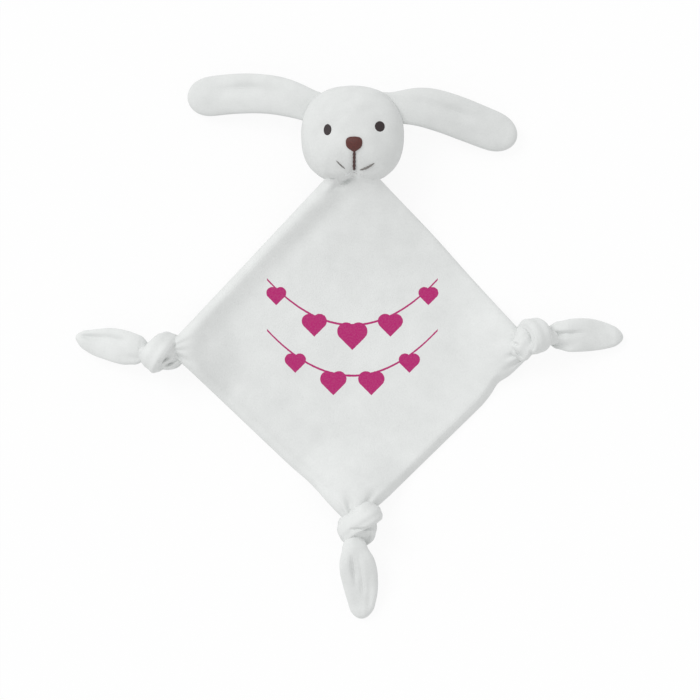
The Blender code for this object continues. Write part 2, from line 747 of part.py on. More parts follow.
def build_blanket(blanket, collection, cutters):
    lines = blanket.lines
    u, v = np.meshgrid(lines, lines, indexing="ij")
    ends = blanket.corner_cutters(cutters)
    for name, side in (("blanket_front_panel", 1.0), ("blanket_back_panel", -1.0)):
        points = blanket.surface(u, v, side * LAYER_GAP / 2).reshape(-1, 3)
        faces = [face[::-1] for face in cloth_faces(len(lines))]
        panel = add_mesh(name, points, faces, "velour", collection)
        thick = panel.modifiers.new("cloth", "SOLIDIFY")
        thick.thickness = CLOTH
        thick.offset = side
        for box in ends:
            cut(panel, box)
    build_edge_seam(blanket, collection)


def build_edge_seam(blanket, collection):
    """The thread that joins the two layers, a little in from the edge and across each cut corner.

    It runs from point to point of the grid, (row, column), and so lies between the layers all along.
    """
    low, high = blanket.seam, len(blanket.lines) - 1 - blanket.seam
    top, right, bottom, left = blanket.corner_cells()
    route = [(i, low) for i in range(low + top, high - right)]
    route += [(high - right + k, low + k) for k in range(right)]
    route += [(high, j) for j in range(low + right, high - bottom)]
    route += [(high - k, high - bottom + k) for k in range(bottom)]
    route += [(i, high) for i in range(high - bottom, low + left, -1)]
    route += [(low + left - k, high - k) for k in range(left)]
    route += [(low, j) for j in range(high - left, low + top, -1)]
    route += [(low + k, low + top - k) for k in range(top)]
    points = [blanket.surface(blanket.lines[i], blanket.lines[j]) for i, j in route]
    add_tube("blanket_edge_seam", points, SEAM_THREAD / 2, "thread", collection, True, 1)


def main():
    clear_scene()
    parts = new_collection("comfort_blanket")
    cutters = new_collection("cutters")
    head = Head()
    route = knot_route()
    knots = [Knot(name, route) for name in KNOT_SHAPES]
    build_blanket(Blanket(head, knots), parts, cutters)
    for knot in knots:
        rope = build_knot(knot, parts)
        build_tail(knot, parts, rope)
    neck = hold_at(head.neck_hinge, "neck_pivot", parts)
    build_neck(head, parts, cutters, neck)
    build_head(head, parts, cutters, neck)
    build_face(head, parts, cutters, neck)
    for name in EAR_SHAPES:
        build_ear(Ear(name, head), parts, neck)


main()
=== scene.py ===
# %% [markdown]
# # A rabbit comforter in white velour
# A comforter is a small square of soft cloth with a stuffed head on one corner and a knot in each of the
# others, for a baby to hold and chew. This lesson dresses a jointed model of one for a photograph taken from
# straight above. The model arrives as plain solids. Each is replaced here by cloth, filling or thread that
# sits in the same place. The blanket's middle, the head's pieces, the knots and the chin's stitches are hung
# on their joints' bodies.

# %% Load the jointed model
import json
import math

import bmesh
import bpy
import numpy as np
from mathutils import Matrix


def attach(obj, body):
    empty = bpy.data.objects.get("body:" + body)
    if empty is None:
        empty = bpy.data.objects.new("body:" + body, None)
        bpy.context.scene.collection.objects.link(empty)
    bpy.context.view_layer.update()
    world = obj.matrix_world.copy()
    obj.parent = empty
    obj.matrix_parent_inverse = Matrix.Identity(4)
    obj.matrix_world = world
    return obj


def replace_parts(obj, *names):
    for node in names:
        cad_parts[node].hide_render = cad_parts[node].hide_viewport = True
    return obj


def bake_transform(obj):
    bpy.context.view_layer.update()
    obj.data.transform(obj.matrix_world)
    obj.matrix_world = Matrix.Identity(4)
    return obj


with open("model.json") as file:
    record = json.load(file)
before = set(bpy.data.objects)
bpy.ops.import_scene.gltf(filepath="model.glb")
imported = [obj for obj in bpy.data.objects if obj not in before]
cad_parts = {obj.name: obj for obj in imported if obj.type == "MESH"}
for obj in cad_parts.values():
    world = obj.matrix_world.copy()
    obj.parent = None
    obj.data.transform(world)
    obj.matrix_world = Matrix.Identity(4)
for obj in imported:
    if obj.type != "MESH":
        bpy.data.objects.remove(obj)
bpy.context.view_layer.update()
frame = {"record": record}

joints = {joint["name"]: joint for joint in frame["record"]["behaviour"]["joints"]}
hinge = {name: np.array(joint["pos_m"]) for name, joint in joints.items()}

# %% [markdown]
# ## Surfaces from numbers
# Every piece below is a surface of two parameters, worked out as one numpy array of points. A piece
# may need several such grids, for example the outside and the inside of a cloth. They are joined
# where their edges meet, a pole is closed by merging the points that fall on it, and Blender then
# turns all faces outwards.

# %% Shapes of one number
def smooth(value):
    """Smoothstep, 3t^2 - 2t^3, with t held between 0 and 1."""
    t = np.clip(value, 0.0, 1.0)
    return t * t * (3.0 - 2.0 * t)


def bell(value, width):
    """A bell curve, exp(-(value / width)^2)."""
    return np.exp(-((value / width) ** 2))


def round_edge(distance, radius):
    """Height of a quarter circle at a distance in from its edge: 0 at the edge, 1 past the radius."""
    left = 1.0 - np.clip(distance / radius, 0.0, 1.0)
    return np.sqrt(1.0 - left**2)


def waves(x, y, seed, longest=0.07, count=6):
    """A sum of sine waves in fixed random directions, each shorter and lower than the last."""
    pick = np.random.default_rng(seed)
    total = 0.0
    for k in range(count):
        angle, phase = pick.uniform(0.0, 2.0 * math.pi, 2)
        length = longest * 0.78**k
        along = (x * math.cos(angle) + y * math.sin(angle)) * 2.0 * math.pi / length
        total = total + 0.78**k * np.sin(along + phase)
    return total / count


def unit(vectors):
    """Vectors brought to length one along the last axis."""
    return vectors / np.linalg.norm(vectors, axis=-1, keepdims=True)


def signed_power(value, power):
    """|value|^power with the sign of the value: a power below one makes an oval squarer."""
    return np.sign(value) * np.abs(value) ** power


# %% Grids of points to one closed mesh
def make_piece(name, grids, material, cuts=(), merge=2e-6):
    """Join grids of points, shaped rows by columns by 3, merge what meets, cut by planes and close
    each cut. A cut is a point on the plane and the direction of the side that goes."""
    points, faces, start = [], [], 0
    for grid in grids:
        rows, columns = grid.shape[:2]
        index = start + np.arange(rows * columns).reshape(rows, columns)
        quads = [index[:-1, :-1], index[1:, :-1], index[1:, 1:], index[:-1, 1:]]
        faces.append(np.stack(quads, axis=-1).reshape(-1, 4))
        points.append(grid.reshape(-1, 3))
        start += rows * columns
    points, faces = np.concatenate(points), np.concatenate(faces)
    mesh = bpy.data.meshes.new(name)
    mesh.vertices.add(len(points))
    mesh.vertices.foreach_set("co", points.ravel())
    mesh.loops.add(faces.size)
    mesh.loops.foreach_set("vertex_index", faces.ravel())
    mesh.polygons.add(len(faces))
    mesh.polygons.foreach_set("loop_start", np.arange(0, faces.size, 4))
    mesh.update(calc_edges=True)
    work = bmesh.new()
    work.from_mesh(mesh)
    bmesh.ops.remove_doubles(work, verts=work.verts, dist=merge)
    for point, away in cuts:
        everything = work.verts[:] + work.edges[:] + work.faces[:]
        made = bmesh.ops.bisect_plane(
            work, geom=everything, plane_co=point, plane_no=away, clear_outer=True
        )
        rim = [e for e in made["geom_cut"] if isinstance(e, bmesh.types.BMEdge)]
        closed = bmesh.ops.holes_fill(work, edges=rim, sides=0)
        for face in closed["faces"]:
            for edge in face.edges:
                edge.smooth = False
            face.tag = True
    bmesh.ops.recalc_face_normals(work, faces=work.faces)
    for face in work.faces:
        face.smooth = not face.tag
    work.to_mesh(mesh)
    work.free()
    piece = bpy.data.objects.new(name, mesh)
    bpy.context.scene.collection.objects.link(piece)
    mesh.materials.append(material)
    return piece


def closed_round(grid):
    """Repeat the first column after the last, so that the grid closes round its path."""
    return np.concatenate([grid, grid[:, :1]], axis=1)


# %% [markdown]
# ## Materials
# The whole toy is one cloth. Velour jersey is a knit whose loops are cut to a short upright pile, so
# it has no gloss, takes light softly at every angle and shows a fine grain with faint clouds where
# the pile leans another way. The features are embroidered in dark brown thread.

# %% Colours and nodes
def linear(code):
    """An sRGB hex colour as the linear values that Blender's sockets take."""
    parts = np.array([int(code[i:i + 2], 16) for i in (1, 3, 5)]) / 255.0
    values = np.where(parts <= 0.04045, parts / 12.92, ((parts + 0.055) / 1.055) ** 2.4)
    return (*values.tolist(), 1.0)


def add_node(tree, kind, settings=None, **inputs):
    """Add a node, set its properties, and set or link its inputs by name or by _number."""
    made = tree.nodes.new("ShaderNode" + kind)
    for name, value in (settings or {}).items():
        setattr(made, name, value)
    for name, value in inputs.items():
        key = int(name[1:]) if name[0] == "_" else name.replace("__", " ")
        if isinstance(value, bpy.types.NodeSocket):
            tree.links.new(value, made.inputs[key])
        else:
            made.inputs[key].default_value = value
    return made


def new_material(name):
    """An empty material with its node tree and its surface shader."""
    made = bpy.data.materials.new(name)
    made.use_nodes = True
    tree = made.node_tree
    return made, tree, tree.nodes["Principled BSDF"]


# %% [markdown]
# ### Cut velour
# White polyester velour reads as a cool light grey. Its pile is about 1 mm long. Single fibres are
# far too fine to see at this distance, so the grain is drawn 1.1 mm wide, with clouds of 14 mm where
# a hand has brushed it. A little sheen stands for light caught by the fibre tips at the rim.

# %% Velour
VELOUR = "#E4E6E5"
VELOUR_SHADE = "#DBDDDC"


def velour(name, light=VELOUR, shade=VELOUR_SHADE):
    """Cut velour in the toy's own white. Returns the material, its tree, shader and colour."""
    made, tree, shader = new_material(name)
    where = add_node(tree, "TexCoord").outputs["Object"]
    clouds = add_node(tree, "TexNoise", Vector=where, Scale=1 / 0.014, Detail=3.0)
    grain = add_node(tree, "TexNoise", Vector=where, Scale=1 / 0.0011, Detail=2.0, Roughness=0.65)
    fine = add_node(tree, "TexNoise", Vector=where, Scale=1 / 0.00045, Detail=1.0)
    mixed = add_node(tree, "Math", {"operation": "MULTIPLY_ADD"}, _0=grain.outputs["Fac"], _1=0.55)
    tree.links.new(clouds.outputs["Fac"], mixed.inputs[2])
    share = add_node(tree, "MapRange", Value=mixed.outputs[0], _1=0.45, _2=1.1)
    colour = add_node(
        tree, "Mix", {"data_type": "RGBA"}, _0=share.outputs["Result"],
        _6=linear(shade), _7=linear(light),
    )
    pile = add_node(tree, "Math", {"operation": "MULTIPLY_ADD"}, _0=fine.outputs["Fac"], _1=0.4)
    tree.links.new(grain.outputs["Fac"], pile.inputs[2])
    bump = add_node(tree, "Bump", Height=pile.outputs[0], Strength=0.55, Distance=0.0005)
    tree.links.new(bump.outputs["Normal"], shader.inputs["Normal"])
    tree.links.new(colour.outputs[2], shader.inputs["Base Color"])
    shader.inputs["Roughness"].default_value = 0.95
    shader.inputs["Specular IOR Level"].default_value = 0.15
    shader.inputs["Sheen Weight"].default_value = 0.12
    shader.inputs["Sheen Roughness"].default_value = 0.45
    return made, tree, shader, colour


cloth_white = velour("cut_velour_white")[0]
# A copy of the velour a shade darker, for the head's and the ears' covers: painted shade that makes them
# less bright than the flat cloth under the same lamp.
velour_painted_shade = velour("cut_velour_painted_shade", "#E0E2E1", "#D7D9D8")[0]

# %% [markdown]
# ### The printed garland
# The blanket carries a one-colour print: two strings of hearts, the largest in the middle, worked
# out in the material from the place on the cloth. A heart is a square stood on its point and a disc
# on each of its upper sides. With x folded to its size |x|, one disc serves for both. A point is
# inside where 0.707 - distance from (0.5, 0.5) or 0.707 (1 - |x| - |y|) is above 0, and the larger
# of the two is near enough a distance for an edge that is equally soft all round.

# %% Velour with the print
PRINT = "#B2276E"
PRINT_MIDDLE = (0.001, -0.0085)
HEART_SPACE = 0.0285
GARLANDS = (
    (0.0190, -2.0, (0.0062, 0.0078, 0.0094, 0.0078, 0.0062)),
    (-0.0190, -1.5, (0.0066, 0.0082, 0.0082, 0.0066)),
)
STRING_SAG = 0.0068
STRING_HALF = 0.0640
STRING_WIDTH = 0.0016
INK_EDGE = 0.0003


def printed(name):
    """The velour with hearts under two strings y = top + sag * (x / space)^2, pressed on its upper side."""
    made, tree, shader, colour = velour(name)
    where = add_node(tree, "TexCoord").outputs["Object"]
    ragged = add_node(tree, "TexNoise", Vector=where, Scale=1 / 0.0012, Detail=1.0)
    moved = add_node(
        tree, "VectorMath", {"operation": "MULTIPLY_ADD"}, _0=ragged.outputs["Color"],
        _1=(0.0004, 0.0004, 0.0), _2=(-PRINT_MIDDLE[0] - 0.0002, -PRINT_MIDDLE[1] - 0.0002, 0.0),
    )
    place = add_node(tree, "VectorMath", {"operation": "ADD"}, _0=where, _1=moved.outputs[0])
    axes = add_node(tree, "SeparateXYZ", Vector=place.outputs[0])
    squared = add_node(tree, "Math", {"operation": "MULTIPLY"}, _0=axes.outputs["X"], _1=axes.outputs["X"])
    line = add_node(
        tree, "Math", {"operation": "MULTIPLY_ADD"}, _0=squared.outputs[0], _1=-STRING_SAG / HEART_SPACE**2,
        _2=axes.outputs["Y"],
    )
    either = add_node(tree, "Math", {"operation": "ABSOLUTE"}, _0=line.outputs[0])
    past = add_node(tree, "Math", {"operation": "SUBTRACT"}, _0=either.outputs[0], _1=GARLANDS[0][0])
    off_line = add_node(tree, "Math", {"operation": "ABSOLUTE"}, _0=past.outputs[0])
    string = add_node(
        tree, "Math", {"operation": "SUBTRACT"}, _0=STRING_WIDTH / 2, _1=off_line.outputs[0]
    )
    along = add_node(tree, "Math", {"operation": "ABSOLUTE"}, _0=axes.outputs["X"])
    ends = add_node(tree, "Math", {"operation": "SUBTRACT"}, _0=STRING_HALF, _1=along.outputs[0])
    inside = add_node(tree, "Math", {"operation": "MINIMUM"}, _0=string.outputs[0], _1=ends.outputs[0])
    hearts = [(top, first + k, size) for top, first, sizes in GARLANDS for k, size in enumerate(sizes)]
    for top, place_number, size in hearts:
        hung = (place_number * HEART_SPACE, top + STRING_SAG * place_number**2 - size, 0.0)
        centred = add_node(tree, "VectorMath", {"operation": "SUBTRACT"}, _0=place.outputs[0], _1=hung)
        sides = add_node(tree, "SeparateXYZ", Vector=centred.outputs[0])
        across = add_node(tree, "Math", {"operation": "ABSOLUTE"}, _0=sides.outputs["X"])
        up = add_node(tree, "Math", {"operation": "ABSOLUTE"}, _0=sides.outputs["Y"])
        folded = add_node(tree, "CombineXYZ", X=across.outputs[0], Y=sides.outputs["Y"])
        off_disc = add_node(
            tree, "VectorMath", {"operation": "DISTANCE"}, _0=folded.outputs[0], _1=(size / 2, size / 2, 0.0)
        )
        disc = add_node(
            tree, "Math", {"operation": "SUBTRACT"}, _0=size * math.sqrt(0.5), _1=off_disc.outputs["Value"]
        )
        corner = add_node(tree, "Math", {"operation": "ADD"}, _0=across.outputs[0], _1=up.outputs[0])
        point = add_node(
            tree, "Math", {"operation": "MULTIPLY_ADD"}, _0=corner.outputs[0], _1=-math.sqrt(0.5),
            _2=size * math.sqrt(0.5),
        )
        heart = add_node(tree, "Math", {"operation": "MAXIMUM"}, _0=disc.outputs[0], _1=point.outputs[0])
        inside = add_node(tree, "Math", {"operation": "MAXIMUM"}, _0=inside.outputs[0], _1=heart.outputs[0])
    ink = add_node(
        tree, "MapRange", Value=inside.outputs[0], _1=-INK_EDGE / 2, _2=INK_EDGE / 2, _3=0.0, _4=1.0
    )
    wear = add_node(tree, "MapRange", Value=ragged.outputs["Fac"], _1=0.3, _2=0.8, _3=1.0, _4=0.95)
    worn = add_node(tree, "Math", {"operation": "MULTIPLY"}, _0=ink.outputs[0], _1=wear.outputs[0])
    mixed = add_node(
        tree, "Mix", {"data_type": "RGBA"}, _0=worn.outputs[0], _6=colour.outputs[2], _7=linear(PRINT)
    )
    tree.links.new(mixed.outputs[2], shader.inputs["Base Color"])
    return made


cloth_printed = printed("cut_velour_printed")
print("velour with", sum(len(sizes) for _, _, sizes in GARLANDS), "printed hearts")

# %% [markdown]
# ### Thread and filling
# Embroidery thread is trilobal polyester, wound smooth. Stitches lie about 0.4 mm apart, which shows as fine
# ribs. The soft shine along each stitch is partly the shader's sheen and partly a painted highlight, each
# rib's back coloured lighter. Polyester filling is never seen. It is there because the toy holds it, and
# gets a loose fibrous white.

# %% Threads and filling
def thread(name, code, highlight_and_fibre_code, rib=0.0004, lean=(1.0, 0.0, 0.0), sheen=0.3):
    """Satin stitches: ribs one thread wide across the direction lean, with a painted highlight on their
    backs over the fibre's random tone.
    """
    made, tree, shader = new_material(name)
    where = add_node(tree, "TexCoord").outputs["Object"]
    across = add_node(tree, "VectorMath", {"operation": "DOT_PRODUCT"}, _0=where, _1=lean)
    turned = add_node(
        tree, "Math", {"operation": "MULTIPLY"}, _0=across.outputs["Value"], _1=2 * math.pi / rib
    )
    ribs = add_node(tree, "Math", {"operation": "SINE"}, _0=turned.outputs[0])
    fibre = add_node(tree, "TexNoise", Vector=where, Scale=1 / 0.0008, Detail=3.0)
    share = add_node(
        tree, "Math", {"operation": "MULTIPLY_ADD"}, _0=ribs.outputs[0], _1=0.25
    )
    tree.links.new(fibre.outputs["Fac"], share.inputs[2])
    # The lighter colour follows the ribs and the fibre noise: each rib's back is a painted highlight, over
    # the fibre's random tone.
    colour = add_node(
        tree, "Mix", {"data_type": "RGBA"}, _0=share.outputs[0],
        _6=linear(code), _7=linear(highlight_and_fibre_code),
    )
    bump = add_node(tree, "Bump", Height=share.outputs[0], Strength=0.5, Distance=0.00018)
    tree.links.new(bump.outputs["Normal"], shader.inputs["Normal"])
    tree.links.new(colour.outputs[2], shader.inputs["Base Color"])
    shader.inputs["Roughness"].default_value = 0.5
    shader.inputs["Sheen Weight"].default_value = sheen
    shader.inputs["Sheen Roughness"].default_value = 0.4
    return made


eye_thread = thread("embroidered_eye_thread", "#120A0B", "#2B1619", lean=(0.0, 1.0, 0.0), sheen=0.0)
nose_thread = thread("embroidered_nose_thread", "#2C0F0D", "#6A2A20", lean=(1.0, 0.0, 0.0), sheen=0.15)
mouth_thread = thread("twisted_mouth_thread", "#2A1615", "#54322F", lean=(0.6, 0.8, 0.0), sheen=0.0)
smile_thread = thread("twisted_smile_thread", "#5A5654", "#8A8683", lean=(0.6, 0.8, 0.0), sheen=0.0)
sewing_thread = thread("white_sewing_thread", "#D0D2D2", "#E6E8E8", rib=0.0006, lean=(0.7, 0.7, 0.0))


def filling_material():
    """Loose white fibre: matt tufts 3 mm wide, between two whites."""
    made, tree, shader = new_material("polyester_fibre_filling")
    where = add_node(tree, "TexCoord").outputs["Object"]
    tufts = add_node(tree, "TexNoise", Vector=where, Scale=1 / 0.003, Detail=6.0, Distortion=1.5)
    colour = add_node(
        tree, "Mix", {"data_type": "RGBA"}, _0=tufts.outputs["Fac"],
        _6=linear("#D8D8D4"), _7=linear("#F2F2EE"),
    )
    tree.links.new(colour.outputs[2], shader.inputs["Base Color"])
    shader.inputs["Roughness"].default_value = 1.0
    return made


fibre_filling = filling_material()
print("materials", *[made.name for made in bpy.data.materials])

# %% [markdown]
# ## Head
# The head is a ball of filling inside two velour panels, a face and a back, whose side seam runs
# round its widest line. It is an oval that is a little squarer across the cheeks. Stitches pull the
# face in at the eyes, along the mouth and at the point under the chin where the blanket's corner is
# sewn on, and the cheeks swell between them. The form is an angle round the head and a tilt from
# the seam to the middle of the face.

# %% The head's form
HEAD_HALVES = np.array([0.0386, 0.0375, 0.0275])
HEAD_POWER = 2.35
head_middle = hinge["head_turn"]
CHIN_Y = 0.1196
CHIN_PEAK = 0.0054
RIM_TUCK = 0.0058
CHIN_POINT = np.array([0.0014, CHIN_Y + CHIN_PEAK])


def head_outline(angle):
    """Distance to the side seam: an oval of power 2.35 instead of 2."""
    a, b = HEAD_HALVES[:2]
    across = np.abs(np.cos(angle) / a) ** HEAD_POWER + np.abs(np.sin(angle) / b) ** HEAD_POWER
    return across ** (-1.0 / HEAD_POWER)


def chin_line(x):
    """The line that the blanket's corner is sewn along: two shallow lobes with a peak between."""
    off = np.abs(x - CHIN_POINT[0])
    lobes = CHIN_Y - 0.0004 + 0.0016 * (np.clip(off - 0.0125, 0.0, 0.0100) / 0.0080) ** 2
    return lobes + CHIN_PEAK * np.exp(-((off / 0.0070) ** 1.5))


def face_shape(x, y):
    """How far the face swells out of the plain oval, at a place measured from the head's middle."""
    out = 0.0013 * bell(np.hypot(x - 0.021, y + 0.018), 0.012)
    out = out + 0.0013 * bell(np.hypot(x + 0.021, y + 0.018), 0.012)
    out = out + 0.0012 * bell(np.hypot(x - 0.001, (y + 0.007) * 0.9), 0.010)
    out = out - 0.0012 * bell(np.hypot(x + 0.0188, y - 0.0052), 0.0050)
    out = out - 0.0012 * bell(np.hypot(x - 0.0204, y - 0.0072), 0.0050)
    mouth = smooth((-0.009 - y) / 0.006) * bell(x - 0.0011, 0.0026)
    out = out - 0.0011 * mouth
    above = y + head_middle[1] - chin_line(x + head_middle[0])
    return out + 0.0008 * bell(above - 0.004, 0.004) * smooth((0.026 - np.abs(x)) / 0.006)


def chin_pull(x, y):
    """How far the stitches under the chin pull the cloth down: a dent round the chin's point."""
    off = np.hypot(x - CHIN_POINT[0], y - CHIN_POINT[1] - 0.0002)
    lower = np.clip((CHIN_Y + 0.0270 - y) / 0.0270, 0.0, 1.3) ** 2 * bell(x - CHIN_POINT[0], 0.022)
    return 0.0026 * bell(off, 0.0045) + 0.0010 * bell(off, 0.0120) + 0.0036 * lower


def head_form(angle, tilt, inset=0.0):
    """Points of the head at angles round it and tilts from the side seam, drawn in by inset. The
    outline times cos(tilt) and the depth times sin(tilt) make the ball, and the face's swelling and
    small lumps move it along its normal. Below the chin's line the rim is tucked under the cloth."""
    angle, tilt = np.broadcast_arrays(angle, tilt)
    reach = head_outline(angle)
    flat = np.stack([reach * np.cos(angle), reach * np.sin(angle)], axis=-1) * np.cos(tilt)[..., None]
    x, y, z = flat[..., 0], flat[..., 1], HEAD_HALVES[2] * np.sin(tilt)
    out = np.stack([x, y, z], axis=-1) / HEAD_HALVES**2
    out = unit(out)
    front = smooth((z - 0.004) / 0.012)
    swell = face_shape(x, y) * front
    swell = swell + 0.0007 * waves(x * 1.3 + z, y - z * 0.7, 4, 0.030, 5)
    swell = swell - 0.0007 * bell(tilt * 0.033, 0.0011) - 0.0003 * bell(tilt * 0.033, 0.004)
    points = head_middle + np.stack([x, y, z], axis=-1) + (swell - inset)[..., None] * out
    above = y + head_middle[1] - chin_line(x + head_middle[0])
    under = 0.0010 * smooth((0.0004 - above) / 0.0022) + 0.0030 * smooth(-above / 0.010)
    points[..., 1] += RIM_TUCK * smooth(-above / 0.0115)
    points[..., 2] -= front * (chin_pull(x + head_middle[0], y + head_middle[1]) + under)
    return points


def on_head(x, y, rise=0.0):
    """Points of the face at places measured from the head's middle, raised along the surface's
    own direction, with that direction."""
    x, y = np.broadcast_arrays(np.asarray(x, float), np.asarray(y, float))

    def at(x, y):
        """The face's own point at a place."""
        angle = np.arctan2(y, x)
        share = np.clip(np.hypot(x, y) / head_outline(angle), 0.0, 0.999)
        return head_form(angle, np.arccos(share))

    step = 0.0004
    across = at(x + step, y) - at(x - step, y)
    along = at(x, y + step) - at(x, y - step)
    out = np.cross(across, along)
    out = unit(out)
    return at(x, y) + np.asarray(rise)[..., None] * out, out


def on_chin_line(x, above, rise=0.0):
    """Points of the face at a distance above the chin's line, where x is measured on the table."""
    return on_head(x - head_middle[0], chin_line(x) - head_middle[1] + above, rise)[0]


print("head", [round(2000 * half) for half in HEAD_HALVES], "mm wide, long and deep")

# %% Head panels and filling
def head_panel(name, node, low, high, rows, columns=220, cloth=0.0014):
    """Half of the head's cover: the outside from the middle to the seam, and back along the inside."""
    angle = np.linspace(0.0, 2.0 * math.pi, columns + 1)
    tilt = high + (low - high) * np.linspace(0.0, 1.0, rows) ** 0.9
    outside = head_form(angle[None, :], tilt[:, None])
    inside = head_form(angle[None, :], tilt[::-1, None], cloth)
    # The cover is in the darker copy of the velour: painted shade.
    piece = make_piece(name, [np.concatenate([outside, inside])], velour_painted_shade)
    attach(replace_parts(piece, node), "head")
    return piece


head_front = head_panel("head_face_cover", "head_front_panel", 0.0, math.pi / 2, 110)
head_back = head_panel("head_back_cover", "head_back_panel", 0.0, -math.pi / 2, 70)
angles = np.linspace(0.0, 2.0 * math.pi, 73)
tilts = np.linspace(-math.pi / 2, math.pi / 2, 49)[:, None]
clear = 0.0050 + 0.0080 * smooth((-np.sin(angles) - 0.2) / 0.6)
head_filling = make_piece(
    "head_fibre_filling", [head_form(angles[None, :], tilts, clear)], fibre_filling
)
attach(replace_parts(head_filling, "head_stuffing"), "head")
print("head", len(head_front.data.vertices) + len(head_back.data.vertices), "points")

# %% [markdown]
# ## Face
# Eyes and nose are satin stitch: parallel threads laid over a little padding, so each stands up as a
# low cushion with ribs across it. The mouth is a line of twisted thread from the nose to the pulled
# point of the chin, and a thin curved stroke runs out from its end on either side.

# %% Satin stitch patches
PATCH_SUNK = 0.0003


def stitched_patch(name, middle, halves, height, material, outline):
    """A padded patch on the face. Its outline is a distance for each angle, and its height falls
    from the middle as (1 - r^2)^0.4, so that it drops steeply at the rim."""
    angle = np.linspace(0.0, 2.0 * math.pi, 49)
    r = np.sin(np.linspace(0.0, math.pi / 2, 20))[:, None]
    reach = outline(angle) * r
    x = middle[0] + reach * np.cos(angle) * halves[0]
    y = middle[1] + reach * np.sin(angle) * halves[1]
    top = on_head(x, y, height * (1.0 - r**2) ** 0.4 - PATCH_SUNK)[0]
    under = on_head(x, y, -0.0007 * (1.0 - r) - PATCH_SUNK)[0]
    piece = make_piece(name, [np.concatenate([top, under[::-1]])], material)
    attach(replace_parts(piece, name.replace("stitched_", "")), "head")


def oval(angle):
    """The same distance for each angle: the patch's halves alone make it an oval."""
    return np.ones_like(angle)


def nose_outline(angle):
    """A wide flat top and a round point below: an oval whose upper corners are pushed out."""
    corners = 0.13 * bell(np.angle(np.exp(1j * (angle - 0.62))), 0.42)
    corners = corners + 0.13 * bell(np.angle(np.exp(1j * (angle - math.pi + 0.62))), 0.42)
    sides = -0.13 * bell(np.angle(np.exp(1j * (angle + 0.95))), 0.5)
    sides = sides - 0.13 * bell(np.angle(np.exp(1j * (angle + math.pi - 0.95))), 0.5)
    return 1.0 + corners + sides - 0.07 * bell(np.angle(np.exp(1j * (angle - math.pi / 2))), 0.5)


stitched_patch(
    "stitched_left_eye", (-0.0189, 0.0041), (0.0030, 0.0044), 0.0011, eye_thread, oval
)
stitched_patch(
    "stitched_right_eye", (0.0206, 0.0065), (0.0038, 0.0041), 0.0011, eye_thread, oval
)
stitched_patch(
    "stitched_nose", (0.0012, -0.0066), (0.0060, 0.0059), 0.0024, nose_thread, nose_outline
)
print("face: two eyes and a nose in satin stitch")

# %% Twisted stitch lines
def distance_along(points):
    """Distance from the start of a line of points to each of them."""
    return np.concatenate(([0.0], np.cumsum(np.linalg.norm(np.diff(points, axis=0), axis=1))))


def along_path(route, columns, radius, bumps=None):
    """Rings round a path. The section's own side and up directions are carried along without twist.
    radius is one value for each ring, and bumps(angle, ring) scales it round and along."""
    ahead = np.gradient(route, axis=0)
    ahead = unit(ahead)
    side = np.empty_like(route)
    side[0] = np.cross(ahead[0], (0.0, 0.0, 1.0))
    side[0] /= np.linalg.norm(side[0])
    for k in range(1, len(route)):
        turned = side[k - 1] - ahead[k] * (side[k - 1] @ ahead[k])
        side[k] = turned / np.linalg.norm(turned)
    up = np.cross(side, ahead)
    angle = np.linspace(0.0, 2.0 * math.pi, columns + 1)[None, :]
    rings = np.broadcast_to(radius, len(route))[:, None] * np.ones_like(angle)
    if bumps:
        rings = rings * bumps(angle, np.arange(len(route))[:, None])
    return route[:, None, :] + rings[..., None] * (
        np.cos(angle)[..., None] * side[:, None, :] + np.sin(angle)[..., None] * up[:, None, :]
    )


def stitched_line(name, x, y, radius, material):
    """A two-ply thread on the face: a tube with a section that is not quite round, twisted along."""
    route = on_head(x, y, radius * 0.35)[0]
    ends = np.sqrt(1.0 - np.abs(np.linspace(-1.0, 1.0, len(x))) ** 10)
    grid = along_path(route, 12, radius * ends, lambda a, k: 1.0 + 0.16 * np.cos(2.0 * a - k * 0.55))
    piece = make_piece(name, [grid], material)
    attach(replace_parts(piece, name.replace("stitched_", "")), "head")


t = np.linspace(0.0, 1.0, 60)
stitched_line(
    "stitched_mouth_line", 0.0014 - 0.0001 * t, -0.0112 - 0.0149 * t, 0.0010, mouth_thread
)
stitched_line(
    "stitched_left_smile", -0.0054 - 0.0064 * t, -0.0246 + 0.0058 * t - 0.0005 * np.sin(math.pi * t),
    0.00050 * (0.5 + 0.5 * np.sin(math.pi * t)), smile_thread,
)
stitched_line(
    "stitched_right_smile", 0.0053 + 0.0107 * t, -0.0256 + 0.0053 * t - 0.0008 * np.sin(math.pi * t),
    0.00085 * (0.4 + 0.6 * np.sin(math.pi * t)), smile_thread,
)
print("mouth: three lines of", len(t), "places")

# %% [markdown]
# ## Ears
# Each ear is two long panels sewn edge to edge round a thin filling. It leaves the head nearly
# level, droops in a soft curve and lies on the table, fullest past its middle with a round tip. Where
# the filling has shifted the cloth sinks in a long shallow dent.

# %% The ears' middle lines and outlines
# The middle line is worked out from behind the hinge to past the tip. EAR_TURN is the distance over
# which it turns, EAR_SKEW that over which a section comes square to it, EAR_FALL the one in which it
# comes down to the table, and EAR_TIP the length of the round tip.
EAR_LINE = (-0.012, 0.0905)
EAR_TURN = {"left": 0.088, "right": 0.055}
EARS = {
    # side: length, its root's direction and how far that bends round the head, the direction in which
    # it leaves the head and how far it turns, half widths at five places, the dent's place
    "left": (0.0872, 152.0, 30.0, 161.0, 28.0, (0.0142, 0.0144, 0.0150, 0.0150, 0.0136), (-0.25, 0.50)),
    "right": (0.0890, 29.0, 25.0, -4.0, -17.5, (0.0150, 0.0153, 0.0156, 0.0151, 0.0126), (0.2, 0.4)),
}
EAR_SKEW = 0.030
EAR_FALL = 0.080
EAR_TIP = 0.018


